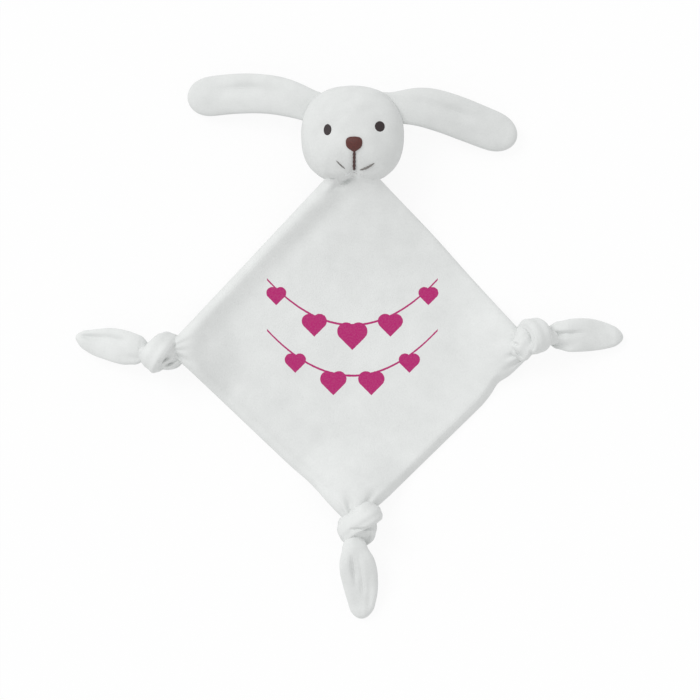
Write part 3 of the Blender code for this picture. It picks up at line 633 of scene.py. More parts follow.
def ear_form(side, s, angle, inset=0.0):
    """Points of an ear at distances s from its hinge and at angles round its section. The section
    is an oval, thinner towards the sewn edges, and the ear is closed at both ends."""
    ear_length, root_angle, bent, leaving, turn, widths, dent = EARS[side]
    start = hinge[f"{side}_ear_flop"]
    fine = np.linspace(*EAR_LINE, 400)
    heading = np.radians(leaving + turn * np.sin(0.5 * math.pi * np.clip(fine / EAR_TURN[side], 0.0, 1.0)))
    step = np.diff(fine, prepend=fine[0])
    x, y = np.cumsum(np.cos(heading) * step), np.cumsum(np.sin(heading) * step)
    x, y = x - np.interp(0.0, fine, x), y - np.interp(0.0, fine, y)
    thick = 0.0036 + 0.0028 * smooth((fine + 0.004) / 0.024)
    fallen = np.clip(fine / EAR_FALL, 0.0, 1.0)
    fall = (start[2] - 0.0066) * (0.5 * fallen + 0.5 * smooth(fallen))
    places = np.array([0.0, 0.22, 0.5, 0.78, 1.0]) * ear_length
    half = np.interp(fine, places, widths)
    kernel = np.exp(-np.linspace(-2.0, 2.0, 61) ** 2)
    half = np.convolve(np.pad(half, 30, mode="edge"), kernel / kernel.sum(), mode="valid")
    from_tip = (ear_length - inset - fine) / EAR_TIP
    cap = np.sqrt(np.clip(1.0 - np.clip(1.0 - from_tip, 0.0, 1.0) ** 2.5, 0.0, 1.0))
    root = np.sqrt(np.clip(1.0 - np.clip(-(fine + 0.004) / (0.0075 - inset), 0.0, 1.0) ** 2, 0.0, 1.0))
    ends = cap * root
    across = (half - inset) * cap * (0.6 + 0.4 * root) * (ends > 0)
    rise = (thick - inset) * ends**0.8

    def at(values):
        """Values along the ear, read at the distances asked for."""
        return np.interp(s, fine, values)

    angle = angle + 0.0 * s
    wide, up = signed_power(np.cos(angle), 0.9), signed_power(np.sin(angle), 0.85)
    place = s / ear_length
    dip = 0.0030 * bell(wide - dent[0], 0.26) * bell(place - dent[1], 0.2) * (up > 0)
    lumps = 0.0005 * waves(at(x) + wide * 0.012, at(y) - wide * 0.012 + up * 0.01, 11, 0.045, 5)
    flat = at(rise) * up + (lumps - dip) * np.abs(up) * at(ends)
    skew = math.radians(root_angle) + math.radians(bent) * wide - at(heading)
    facing = at(heading) + skew * (1.0 - smooth(s / EAR_SKEW))
    points = np.stack([
        start[0] + at(x) - np.sin(facing) * at(across) * wide,
        start[1] + at(y) + np.cos(facing) * at(across) * wide,
        start[2] - at(fall) + flat,
    ], axis=-1)
    return points


# %% Ear panels and fillings
for side in EARS:
    ear_rows = np.concatenate([
        np.linspace(-0.0115, 0.0, 14)[:-1],
        np.linspace(0.0, EARS[side][0] - 0.012, 70)[:-1],
        EARS[side][0] - 0.012 * (1.0 - np.sin(np.linspace(0.0, math.pi / 2, 16))),
    ])[:, None]
    way = np.array(joints[f"{side}_ear_flop"]["axis"])
    for name, first in (("front", 0.0), ("back", math.pi)):
        angle = first + np.linspace(0.0, math.pi, 33)[None, :]
        outside = ear_form(side, ear_rows, angle)
        inside = ear_form(side, ear_rows, angle[:, ::-1], 0.0008)
        inside[:, 0], inside[:, -1] = outside[:, -1], outside[:, 0]
        inside[0], inside[-1] = outside[0, ::-1], outside[-1, ::-1]
        # The ear covers are in the darker copy of the velour: painted shade.
        panel = make_piece(f"{side}_ear_{name}_cover", [outside, inside], velour_painted_shade)
        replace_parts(panel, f"{side}_ear_{name}")
        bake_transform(panel)
    all_round = np.linspace(0.0, 2.0 * math.pi, 25)[None, :-1]
    filled = closed_round(ear_form(side, ear_rows[12:-3:3], all_round, 0.0020))
    ends = [np.broadcast_to(filled[k].mean(axis=0), filled[k].shape)[None] for k in (0, -1)]
    filling = make_piece(
        f"{side}_ear_fibre_filling", [np.concatenate([ends[0], filled, ends[1]])], fibre_filling
    )
    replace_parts(filling, f"{side}_ear_filling")
    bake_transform(filling)
print("ears", [round(ear[0] * 1000, 1) for ear in EARS.values()], "mm long")

# %% [markdown]
# ## Blanket
# The blanket is two squares of velour sewn round the edge and turned, so that the seam lies inside
# and the edge is a soft roll with a fine groove where the layers meet. It lies flat on the table and
# rises to the chin at its top corner and to the middle of a knot at each of the others. A fold runs
# along its upper left edge, its lower right edge lies slack and its upper right one taut. Both
# layers come from one function of the place on the square, so that they meet at the edge, and so do
# the parts that the cloth is cut into for its joints.

# %% The square and its corners
TOP, RIGHT = np.array([0.0011, 0.1418]), np.array([0.1395, -0.0075])
BOTTOM, LEFT = np.array([0.0019, -0.1418]), np.array([-0.1395, -0.0075])
SIDE = 0.199
FLAT_HALF = 0.00235
EDGE_RADIUS = 0.0036
ROPE_HALF = 0.0053
NECK_REACH = 0.096
UPPER_LEFT = np.array([TOP[1] - LEFT[1], LEFT[0] - TOP[0]]) / np.hypot(*(TOP - LEFT))
corners = {}
for side in ("left", "right", "bottom"):
    way = joints[f"{side}_corner_bend"]["axis"]
    corners[side] = (hinge[f"{side}_corner_bend"], np.array([-way[1], way[0]]))


def outward(start, end):
    """Direction out of the square across the side from start to end, clockwise."""
    way = end - start
    return np.array([-way[1], way[0]]) / np.hypot(*way)


def square(u, v):
    """Flat place of the cloth: u runs from the top corner to the right one, v to the left one. Each
    side bows a little, as cloth lies, and the bow fades over a fifth of the square."""
    lower_right = 0.0015 * smooth((v - 0.22) / 0.10) * (1.0 - smooth((v - 0.80) / 0.16))
    lower_right = lower_right - 0.0020 * bell(v - 0.20, 0.035)
    lower_left = -0.0011 * smooth(u / 0.12) * (1.0 - smooth((u - 0.80) / 0.12))
    lower_left = lower_left - 0.0009 * bell(u - 0.75, 0.06)
    upper_right = 0.0009 * bell(u - 0.43, 0.16)
    u, v = u[..., None], v[..., None]
    flat = TOP * (1 - u) * (1 - v) + RIGHT * u * (1 - v) + LEFT * (1 - u) * v + BOTTOM * u * v
    flat = flat + lower_right[..., None] * smooth((u - 0.8) / 0.2) * outward(RIGHT, BOTTOM)
    flat = flat + lower_left[..., None] * smooth((v - 0.8) / 0.2) * outward(BOTTOM, LEFT)
    return flat + upper_right[..., None] * smooth((0.2 - v) / 0.2) * outward(TOP, RIGHT)


chin_x = np.linspace(-0.0195, 0.0225, 85)
chin_z = on_chin_line(chin_x, 0.0002)[:, 2]
lobe_z = on_head(chin_x - head_middle[0], CHIN_Y + 0.0002 - head_middle[1])[0][:, 2]
lobes = np.abs(chin_x - CHIN_POINT[0]) > 0.010
lobe_z = np.polyval(np.polyfit(chin_x[lobes], lobe_z[lobes], 2), chin_x)
print("square", round(SIDE * 1000), "mm a side, with knotted corners", *corners)

# %% [markdown]
# ### The cloth's height
# The creases at the knots, the soft edge, the fall from the chin, the fold and the tuck beside the
# chin's point are each a short line: a change of the height of the middle between the layers, or of
# the half thickness that the layers keep from it.

# %% Creases and surface
def pleats(side, inward, across):
    """Creases that run out of a knot into the cloth. Each has a place across, a width, a depth and
    a reach, and fades along that reach."""
    creases = {
        "left": ((-0.62, 0.16, 0.0026, 0.016), (0.30, 0.14, 0.0012, 0.012), (-0.15, 0.12, 0.0010, 0.010)),
        "right": ((-0.30, 0.11, 0.0030, 0.013), (-0.68, 0.12, 0.0030, 0.020), (0.35, 0.16, 0.0012, 0.010)),
        "bottom": ((0.15, 0.16, 0.0026, 0.014), (-0.50, 0.13, 0.0022, 0.016), (0.62, 0.12, 0.0014, 0.012)),
    }
    depth = 0.0
    for place, width, deep, reach in creases[side]:
        depth = depth + deep * bell(across - place, width) * (1.0 - smooth(inward / reach))
    return depth


def cloth(u, v, layer):
    """Points of the blanket: layer 1 is the front's outside, -1 the back's, 0 the middle between.

    Height = middle + (layer - fall) * half. The half thickness is that of the flat cloth times a
    rounded edge, slack along the lower right and taut along the upper right. The middle goes from
    the flat cloth's to the chin's by the fall, which is (1 - distance from the chin / its reach)^1.9.
    A fold, a valley beside it, a tuck and a narrow crease at the chin's point are bells across their
    own lines. At a corner the middle rises to the knot's, and the section turns round as a rope's."""
    u, v = np.broadcast_arrays(u, v)
    flat = square(u, v)
    x, y = flat[..., 0], flat[..., 1]
    sides = np.stack([u, 1.0 - u, v, 1.0 - v], axis=-1) * SIDE
    near = sides.min(axis=-1)
    edge_y = TOP[1] - np.abs(x - TOP[0]) / 0.9417
    sewn = np.minimum(edge_y, chin_line(x))
    share = np.clip((y - 0.100) / np.maximum(edge_y - 0.100, 1e-6), 0.0, 1.0)
    y = np.where(y > 0.100, 0.100 + (sewn - 0.100) * share, y)

    # the edge
    slack = 1.0 - smooth(sides[..., 1] / 0.03)
    taut = (1.0 - smooth(sides[..., 2] / 0.03)) * (1.0 - slack)
    bead = FLAT_HALF + 0.0013 * slack + 0.0011 * (1.0 - slack - 0.7 * taut) * bell(near - 0.0048, 0.0048)
    half = bead * round_edge(near, EDGE_RADIUS + 0.0028 * slack - 0.0010 * taut)

    # the fall from the chin, where the cloth is held as the head's own lobes are
    aside = np.maximum(np.abs(x - CHIN_POINT[0]) - 0.0170, 0.0)
    below = np.maximum(chin_line(x) - y, 0.0)
    down = below - (chin_line(x) - CHIN_Y) * smooth(below / 0.030)
    away = np.hypot(aside, down) / NECK_REACH
    fall = np.clip(1.0 - away, 0.0, 1.0) ** 1.9
    held_x = CHIN_POINT[0] + 0.0200 * np.tanh((x - CHIN_POINT[0]) / 0.0200)
    peak = 1.0 - smooth(below / 0.010)
    held = np.interp(held_x, chin_x, chin_z) * peak + np.interp(held_x, chin_x, lobe_z) * (1.0 - peak)
    held = held + (lobe_z.mean() - held) * smooth(away / 0.42) - 0.0002
    calm = smooth(near / 0.030)
    billow = 0.0012 + 0.0013 * waves(x, y, 7, 0.085)
    middle = bead + (held - bead) * fall + billow * calm * (1.0 - 0.5 * fall)

    # the fold along the upper left edge, its valley, and the slack edge's own slope
    inset = (x - TOP[0]) * UPPER_LEFT[0] + (y - TOP[1]) * UPPER_LEFT[1]
    ends = smooth((away + 0.02) / 0.12) * (1.0 - smooth((v - 0.84) / 0.16))
    drift = 0.0020 * (1.0 - smooth(away / 0.30))
    middle = middle + 0.0045 * ends * bell(inset - drift - 0.0074, 0.0096)
    middle = middle - 0.0024 * slack * (1.0 - smooth(near / 0.0068)) * (1.0 - fall)
    pulled = smooth((away + 0.01) / 0.05) * (1.0 - smooth((v - 0.84) / 0.16))
    middle = middle - (0.0006 + 0.0012 * fall) * pulled * bell(inset - drift - 0.0200, 0.0100)

    # how steeply the cloth falls, the tuck beside the chin's point and the crease in it
    middle = middle - 0.0022 * (1.0 - np.exp(-below / 0.0035)) * fall
    middle = middle - 0.0046 * (1.0 - np.exp(-below / 0.013)) * fall**2
    out_x, out_y = x - CHIN_POINT[0] + 0.0034, y - CHIN_Y - 0.0034
    beyond, beside = -0.68 * out_x - 0.73 * out_y, 0.73 * out_x - 0.68 * out_y
    tuck = smooth((beyond + 0.0042) / 0.005) * (1.0 - smooth((beyond - 0.003) / 0.024))
    middle = middle - 0.0064 * tuck * bell(beside, np.where(beside < 0.0, 0.0028, 0.0064))
    middle = middle - 0.0034 * bell(beside - 0.0014, 0.0026) * bell(beyond - 0.0040, 0.0044)

    # the gathered corners
    for side, (root, way) in corners.items():
        inward = -((x - root[0]) * way[0] + (y - root[1]) * way[1])
        beside = -(x - root[0]) * way[1] + (y - root[1]) * way[0]
        distance = np.hypot(inward, beside)
        raised = 1.0 - smooth((distance - 0.003) / (0.026 + 1.2 * root[2]))
        middle = middle + (root[2] - FLAT_HALF) * raised
        over, under = {"left": (0, 3), "right": (2, 1), "bottom": (1, 3)}[side]
        over, under = sides[..., over], sides[..., under]
        across = (under - over) / np.maximum(under + over, 1e-6)
        if side == "bottom":
            across = -across
        gather = (1.0 - smooth((inward + 0.004) / 0.026)) * smooth((0.06 - distance) / 0.02)
        rope = ROPE_HALF * np.sqrt(np.clip(1.0 - across**2, 0.0, 1.0))
        half = half + (rope - half) * gather
        pressed = pleats(side, np.maximum(inward, 0.0), across) * gather**0.3
        half = half - np.minimum(pressed, 0.8 * half) * (layer > 0.5)
    height = middle + (layer - fall) * half
    height = np.maximum(height, 0.0 if layer < 0 else 0.0004)
    return np.stack([x, y, height], axis=-1)


# %% [markdown]
# ### Cutting the cloth into parts
# The square's middle stays with the table. Each corner, and the top corner by the neck, is a part of its
# own. They are cut from the same surface by planes, across the cloth where it is smooth, so nothing shows at
# a cut.

# %% Front and back layers
def lines(step, low=0.0, high=1.0):
    """Grid lines along one side: close together over the rolled edge, then evenly spaced."""
    rim = EDGE_RADIUS / SIDE * (1.0 - np.cos(np.linspace(0.0, math.pi / 2, 7)))
    inner = np.linspace(rim[-1], 1.0 - rim[-1], int(round(SIDE / step)))
    every = np.concatenate([rim[:-1], inner, 1.0 - rim[-2::-1]])
    return every[(every >= low - 1e-9) & (every <= high + 1e-9)]


CORNER_CUT = 0.030
NECK_CUT_Y = 0.090
NECK_DOWN = (0.0, -1.0, 0.0)


def cut_across(side, distance, sign):
    """A plane across a corner, at a distance past its root: a point on it and the side cut away."""
    root, way = corners[side]
    point = (root[0] + distance * way[0], root[1] + distance * way[1], 0.0)
    return point, (sign * way[0], sign * way[1], 0.0)


keep_middle = [((0.0, NECK_CUT_Y, 0.0), (0.0, 1.0, 0.0))]
for side in corners:
    keep_middle.append(cut_across(side, -CORNER_CUT, 1.0))
grid_u, grid_v = np.meshgrid(lines(0.0017), lines(0.0017), indexing="ij")
between = cloth(grid_u, grid_v, 0.0)
blanket_front = make_piece(
    "blanket_front_layer", [cloth(grid_u, grid_v, 1.0), between], cloth_printed, keep_middle
)
blanket_back = make_piece(
    "blanket_back_layer", [cloth(grid_u, grid_v, -1.0), between], cloth_white, keep_middle
)
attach(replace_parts(blanket_front, "blanket_front_panel"), "blanket")
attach(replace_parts(blanket_back, "blanket_back_panel"), "blanket")
print("blanket", len(blanket_front.data.polygons) + len(blanket_back.data.polygons), "faces")

# %% Gathered corners
CORNER_RANGES = {
    # side: lowest and highest u, and lowest and highest v, of the square that holds the corner
    "left": (0.0, 0.42, 0.58, 1.0),
    "right": (0.58, 1.0, 0.0, 0.42),
    "bottom": (0.58, 1.0, 0.58, 1.0),
}
for side, (u_low, u_high, v_low, v_high) in CORNER_RANGES.items():
    root, way = corners[side]
    fine_u, fine_v = np.meshgrid(lines(0.0007, u_low, u_high), lines(0.0007, v_low, v_high), indexing="ij")
    grids = [cloth(fine_u, fine_v, 1.0), cloth(fine_u, fine_v, -1.0)]
    cuts = [cut_across(side, -CORNER_CUT, -1.0), cut_across(side, 0.0100, 1.0)]
    piece = make_piece(f"{side}_corner_gathers", grids, cloth_white, cuts)
    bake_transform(piece)

# %% Top corner, sewn under the chin
fine_u, fine_v = np.meshgrid(lines(0.0007, 0.0, 0.44), lines(0.0007, 0.0, 0.44), indexing="ij")
neck_cloth = make_piece(
    "neck_gathers", [cloth(fine_u, fine_v, 1.0), cloth(fine_u, fine_v, -1.0)], cloth_white,
    [((0.0, NECK_CUT_Y, 0.0), NECK_DOWN)],
)
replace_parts(neck_cloth, "neck_gather")
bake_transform(neck_cloth)
print("neck cloth", len(neck_cloth.data.vertices), "points")

# %% [markdown]
# ## Knots
# Each corner is gathered to a rope and tied in one overhand knot. A tight knot is hard to draw by
# hand, so its middle line is found as a rope finds it: a loose knot is pulled from both ends while
# strands that touch push each other apart. Cloth is softer than rope: it spreads over the ball as a
# flat pleated band, wider than the strands' spacing, so the band's turns press into each other. A
# fine voxel remesh makes one skin of them, with soft creases where they meet.

# %% Tightening a loose knot
ROPE = 0.0088


def tighten(route, ends, rope, steps=1400):
    """Each point moves to the middle of its neighbours, and strands closer than a rope's thickness
    push each other apart."""
    points = np.array(route)
    count = len(points)
    apart = np.abs(np.arange(count)[:, None] - np.arange(count)[None, :])
    for step in range(steps):
        pull = 0.5 * (points[:-2] + points[2:]) - points[1:-1]
        points[1:-1] += 0.5 * min(1.0, 1.6 * (1.0 - step / steps)) * pull
        points[0], points[-1] = ends
        for _ in range(3):
            between = points[:, None, :] - points[None, :, :]
            distance = np.linalg.norm(between, axis=2) + 1e-12
            spacing = np.linalg.norm(np.diff(points, axis=0), axis=1).mean()
            strands = apart * spacing > 1.45 * rope
            overlap = np.where(strands & (distance < rope), rope - distance, 0.0)
            push = (overlap / distance)[:, :, None] * between
            near = np.maximum((overlap > 0).sum(axis=1), 1)[:, None]
            points[1:-1] += (0.5 * push.sum(axis=1) / near)[1:-1]
        length = distance_along(points)
        even = np.linspace(0.0, length[-1], count)
        points = np.stack([np.interp(even, length, points[:, k]) for k in range(3)], axis=1)
    return points


def knot_route():
    """The loose knot is the long trefoil x = t^5 - 10t, y = t^3 - 3t, z = 4t^2 - t^4."""
    t = np.linspace(-2.08, 2.08, 63)
    loose = np.stack([(t**5 - 10.0 * t) * 0.14, t**3 - 3.0 * t, 4.0 * t**2 - t**4 - 2.0], axis=1)
    lead = np.linspace(0.0, 1.0, 6)[1:, None]
    reach = np.array([1.875 * ROPE, 0.0, 0.34 * ROPE])
    ends = (reach * (-1.0, 1.0, 1.0), reach)
    loose *= 0.9 * ROPE
    route = np.concatenate([
        loose[0] + (ends[0] - loose[0]) * lead[::-1], loose, loose[-1] + (ends[1] - loose[-1]) * lead,
    ])
    return tighten(route, ends, ROPE + 0.0009) - (0.0, 0.0, 0.34 * ROPE)


plain_route = knot_route()
print("the knot uses", round(float(distance_along(plain_route)[-1]) * 1000), "mm of rope")

# %% Cloth along the knot
KNOTS = {
    # side: how far the loops are rolled over the rope, which way round it is tied, how wide the band
    # of cloth spreads over the ball, how far the ball sags along and across and how much it is
    # flattened across, and a seed for wrinkles
    "left": (115.0, -1.0, 0.0090, (-0.0034, -0.0040, 0.92), 3),
    "right": (60.0, 1.0, 0.0088, (-0.0048, 0.0052, 0.90), 5),
    "bottom": (225.0, 1.0, 0.0088, (0.0, 0.0012, 1.0), 8),
}
KNOT_CREASES = {
    # side: creases pressed into the ball as two ends (x, y), a width and a depth
    "left": (
        ((-0.1432, -0.0172), (-0.1360, -0.0136), 0.0011, 0.0030),
        ((-0.1378, -0.0202), (-0.1296, -0.0150), 0.0011, 0.0032),
        ((-0.1410, -0.0205), (-0.1340, -0.0178), 0.0009, 0.0022),
    ),
    "right": (
        ((0.1207, -0.0026), (0.1252, -0.0046), 0.0010, 0.0026),
        ((0.1215, -0.0075), (0.1285, -0.0140), 0.0010, 0.0026),
        ((0.1342, -0.0096), (0.1395, -0.0136), 0.0010, 0.0022),
        ((0.1395, -0.0136), (0.1432, -0.0098), 0.0010, 0.0022),
    ),
    "bottom": (
        ((0.0000, -0.1425), (0.0175, -0.1418), 0.0010, 0.0026),
        ((0.0045, -0.1493), (0.0140, -0.1488), 0.0009, 0.0020),
        ((-0.0040, -0.1300), (0.0060, -0.1275), 0.0010, 0.0016),
    ),
}
KNOT_THICK = 0.0049
KNOT_END = 0.0060
KNOT_CORE = (0.0120, 0.0124, 0.0112)
print("knots", *KNOTS)

# %% Line and core of a knot
def ease(values, reach):
    """A running mean along the rows, weighted by a bell."""
    kernel = np.exp(-np.linspace(-2.0, 2.0, 2 * reach + 1) ** 2)
    kernel /= kernel.sum()
    columns = [np.convolve(np.pad(column, reach, mode="edge"), kernel, mode="valid") for column in values.T]
    return np.stack(columns, axis=1)


def knot_path(side, count=260):
    """The tight line, rolled, turned to the corner's direction and set on the corner's hinge."""
    roll, hand = math.radians(KNOTS[side][0]), KNOTS[side][1]
    root, way = corners[side]
    length = np.linspace(0.0, 1.0, len(plain_route))
    even = np.linspace(0.0, 1.0, count)
    route = ease(np.stack([np.interp(even, length, plain_route[:, k]) for k in range(3)], axis=1), 6)
    aside = hand * (route[:, 1] * math.cos(roll) - route[:, 2] * math.sin(roll))
    up = route[:, 1] * math.sin(roll) + route[:, 2] * math.cos(roll)
    left = np.array([-way[1], way[0]])
    sag = smooth((1.0 - np.abs(np.linspace(-1.0, 1.0, count))) / 0.30)
    forward, sideways, flatter = KNOTS[side][3]
    along = route[:, 0] - route[0, 0] + forward * sag
    aside = aside - aside[0]
    aside = aside * (1.0 + (flatter - 1.0) * sag) + sideways * sag
    flat = along[:, None] * way + aside[:, None] * left + root[:2]
    return np.column_stack([flat, up - up[0] + root[2]])


def knot_middle(side):
    """The ball's middle: half way along the knot's line, and at the height of its inner turns."""
    turns = knot_path(side)[52:-52]
    return 0.5 * (turns.min(axis=0) + turns.max(axis=0))


def knot_core(side):
    """The cloth wadded up inside the knot: an oval ball that fills the space between the turns."""
    way = corners[side][1]
    left = np.array([-way[1], way[0]])
    tilt = np.linspace(-math.pi / 2, math.pi / 2, 33)[:, None]
    angle = np.linspace(0.0, 2.0 * math.pi, 49)[None, :]
    along, aside, up = KNOT_CORE
    flat = (along * np.cos(tilt) * np.cos(angle))[..., None] * way
    flat = flat + (aside * np.cos(tilt) * np.sin(angle))[..., None] * left
    height = up * np.sin(tilt) * np.ones_like(angle)
    return np.concatenate([flat, height[..., None]], axis=-1) + knot_middle(side)


# %% Band of cloth on the line
def knot_grid(side, columns=40):
    """A flat band of cloth along the knot. Its section is an oval that lies on the ball: wide along
    the ball's surface and thin across it. At both ends it is round, to meet the cloth and the tail.
    Fine pleats run along the band and wander."""
    route = knot_path(side)
    spread, seed = KNOTS[side][2], KNOTS[side][4]
    place = np.linspace(-1.0, 1.0, len(route))
    middle = knot_middle(side)
    ahead = np.gradient(route, axis=0)
    ahead = unit(ahead)
    ends = smooth((np.abs(place) - 0.72) / 0.22)[:, None]
    out = (route - middle) * (1.0 - ends) + ends * np.array([0.0, 0.0, 0.012])
    for _ in range(3):
        out -= ahead * (out * ahead).sum(axis=1, keepdims=True)
        out = ease(unit(out), 8)
    out -= ahead * (out * ahead).sum(axis=1, keepdims=True)
    out = unit(out)
    beside = np.cross(ahead, out)
    wide = KNOT_END + (spread - KNOT_END) * (1.0 - ends)
    thick = KNOT_END + (KNOT_THICK - KNOT_END) * (1.0 - ends)
    tip = np.sqrt(np.clip(1.0 - np.abs(place) ** 40, 0.0, 1.0))[:, None]
    angle = np.linspace(0.0, 2.0 * math.pi, columns + 1)[None, :]
    ring = np.arange(len(route))[:, None]
    phase = np.random.default_rng(seed).uniform(0.0, 2.0 * math.pi, 2)
    pleated = 1.0 + 0.05 * np.cos(5.0 * angle + phase[0] + ring * 0.02)
    pleated = (pleated + 0.04 * np.cos(8.0 * angle + phase[1] - ring * 0.03)) * tip
    across, rise = np.cos(angle), np.sin(angle)
    across = signed_power(across, 0.9) * wide * pleated
    rise = signed_power(rise, 0.9) * thick * pleated
    grid = route[:, None] + across[..., None] * beside[:, None] + rise[..., None] * out[:, None]
    grid[..., 2] = np.maximum(grid[..., 2], 0.0002)
    return grid


def skin(piece, voxel, rounds):
    """Replace a piece's mesh by one skin over everything in it, and smooth that skin."""
    remesh = piece.modifiers.new("skin", "REMESH")
    remesh.mode = "VOXEL"
    remesh.voxel_size = voxel
    soften = piece.modifiers.new("soften", "SMOOTH")
    soften.factor = 0.5
    soften.iterations = rounds
    bpy.context.view_layer.update()
    seen = piece.evaluated_get(bpy.context.evaluated_depsgraph_get())
    mesh = bpy.data.meshes.new_from_object(seen)
    mesh.name = piece.name
    piece.modifiers.clear()
    old = piece.data
    piece.data = mesh
    bpy.data.meshes.remove(old)
    mesh.polygons.foreach_set("use_smooth", np.ones(len(mesh.polygons), bool))
    mesh.update()


def press(piece, creases, middle):
    """Push the upper side of a piece down along short lines: each crease is a bell across its line."""
    flat = np.empty(len(piece.data.vertices) * 3)
    piece.data.vertices.foreach_get("co", flat)
    points = flat.reshape(-1, 3)
    down = 0.0
    for start, end, width, depth in creases:
        start, line = np.array(start), np.array(end) - np.array(start)
        share = np.clip(((points[:, :2] - start) @ line) / (line @ line), 0.0, 1.0)
        off = np.linalg.norm(points[:, :2] - start - share[:, None] * line, axis=1)
        down = down + depth * bell(off, width) * (0.35 + 0.65 * np.sin(math.pi * np.clip(share, 0.0, 1.0)))
    points[:, 2] -= down * smooth((points[:, 2] - middle[2]) / 0.006)
    piece.data.vertices.foreach_set("co", points.ravel())
    piece.data.update()


for side in KNOTS:
    knot = make_piece(f"{side}_corner_knot", [knot_grid(side), knot_core(side)], cloth_white)
    skin(knot, 0.00055, 6)
    press(knot, KNOT_CREASES[side], knot_middle(side))
    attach(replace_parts(knot, f"{side}_knot"), f"{side}_corner")
    print(side, "knot", len(knot.data.vertices), "points")

# %% [markdown]
# ## Tails
# Past each knot the corner's tip opens again into a leaf, two layers of cloth with the old pleats
# still in it. Each leaf differs, so its widths are set at stations along its own middle line.

# %% Leaves
TAILS = {
    # side: length, half widths and sideways drifts at seven even stations, creases as
    # (place across, width, depth, start, end)
    "left": (
        0.0470, (0.0113, 0.0127, 0.0127, 0.0118, 0.0100, 0.0074, 0.0044),
        (0.0006, 0.0008, 0.0006, 0.0006, 0.0012, 0.0012, 0.0005),
        ((-0.34, 0.24, 0.0026, 0.12, 1.05), (0.55, 0.2, 0.0012, -0.2, 0.3)),
    ),
    "right": (
        0.0490, (0.0104, 0.0123, 0.0126, 0.0121, 0.0106, 0.0082, 0.0052),
        (0.0006, 0.0008, 0.0014, 0.0018, 0.0017, 0.0014, 0.0010),
        ((0.10, 0.15, 0.0032, -0.3, 0.45), (-0.72, 0.26, 0.0040, -0.3, 0.34)),
    ),
    "bottom": (
        0.0540, (0.0094, 0.0128, 0.0140, 0.0133, 0.0119, 0.0096, 0.0070),
        (-0.0003, 0.0005, 0.0011, 0.0017, 0.0020, 0.0016, 0.0010),
        ((-0.24, 0.17, 0.0036, 0.06, 0.62), (0.10, 0.17, 0.0020, 0.04, 0.74), (0.5, 0.2, 0.0009, 0.3, 1.0)),
    ),
}


def soft_steps(share, values):
    """Values at even stations, joined by smooth steps instead of straight lines."""
    values = np.array(values)
    place = np.clip(share, 0.0, 1.0) * (len(values) - 1)
    low = np.minimum(place.astype(int), len(values) - 2)
    part = place - low
    before, after = values[low], values[low + 1]
    earlier, later = values[np.maximum(low - 1, 0)], values[np.minimum(low + 2, len(values) - 1)]
    lean, next_lean = 0.5 * (after - earlier), 0.5 * (later - before)
    cube, squared = part**3, part**2
    return (
        (2 * cube - 3 * squared + 1) * before + (cube - 2 * squared + part) * lean
        + (3 * squared - 2 * cube) * after + (cube - squared) * next_lean
    )


def tail_grid(side):
    """A leaf: an oval section along a line from inside the knot down to the table, with creases
    in its upper side and a thin sewn rim."""
    length, widths, drifts, creases = TAILS[side]
    root = hinge[f"{side}_tail_bend"]
    turn = joints[f"{side}_tail_bend"]["axis"]
    way, left = np.array([-turn[1], turn[0]]), np.array([-turn[0], -turn[1]])
    s = np.concatenate([
        np.linspace(-0.0150, 0.0, 18)[:-1], np.linspace(0.0, 0.86, 60)[:-1] * length,
        length * (0.86 + 0.14 * np.sin(np.linspace(0.0, math.pi / 2, 14))),
    ])[:, None]
    share = s / length
    angle = np.linspace(0.0, 2.0 * math.pi, 73)[None, :]
    tip = np.sqrt(np.clip(1.0 - np.clip((share - 0.86) / 0.14, 0.0, 1.0) ** 2, 0.0, 1.0))
    start = np.sqrt(np.clip(1.0 - np.clip(-(s + 0.003) / 0.0120, 0.0, 1.0) ** 2, 0.0, 1.0))
    half = soft_steps(share, widths) * tip * (1.0 - 0.45 * smooth(-s / 0.010))
    half = half * (0.4 + 0.6 * start) * (start > 0)
    thick = (0.0044 + 0.0004 * np.sin(share * 7.0)) * np.clip(1.15 - 0.35 * share, 0.3, 1.1)
    thick = thick * tip**0.7 * start
    down = np.clip(share / 0.92, 0.0, 1.0)
    middle = thick + (root[2] - 0.0046) * (1.0 - 0.65 * down - 0.35 * smooth(down)) + 0.0002
    across = signed_power(np.cos(angle), 0.85)
    up = np.sin(angle)
    crease = 0.0
    for place, width, deep, begin, end in creases:
        reach = smooth((share - begin) / 0.20) * (1.0 - smooth((share - end + 0.30) / 0.30))
        crease = crease + deep * bell(across - place, width) * reach
    lumps = 0.0009 * waves(share * 0.06 + 0.0 * angle, across * 0.014 + 0.004 * up, 21 + len(side), 0.028, 5)
    rise = thick * up + (lumps * 1.2 - crease * tip) * np.clip(up, 0.0, 1.0) ** 0.5 * start
    drift = soft_steps(share, drifts)
    flat = root[:2] + s[..., None] * way + (drift + half * across)[..., None] * left
    return np.concatenate([flat, np.maximum(middle + rise, 0.0002)[..., None]], axis=-1), way


for side in TAILS:
    grid, way = tail_grid(side)
    tail = make_piece(f"{side}_corner_tail", [grid], cloth_white)
    root = hinge[f"{side}_tail_bend"]
    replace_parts(tail, f"{side}_tail")
    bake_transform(tail)
    print(side, "tail", len(tail.data.vertices), "points")

# %% [markdown]
# ## Sewing thread
# Two seams show when the toy is turned over or bent: the groove along the blanket's edge, where the
# thread that joins the layers lies deep between them, and the stitches that hold the top corner to
# the chin. Both are lines of short stitches, a tube whose thickness swells once in each stitch.

# %% Seams
def stitches(route, radius, stitch=0.0028):
    """A tube that is thin between stitches: its radius follows |sin| along the route."""
    length = distance_along(route)
    swell = 0.35 + 0.65 * np.abs(np.sin(math.pi * length / stitch)) ** 0.6
    ends = np.ones(len(route))
    ends[0] = ends[-1] = 0.0
    return along_path(route, 8, radius * swell * ends)


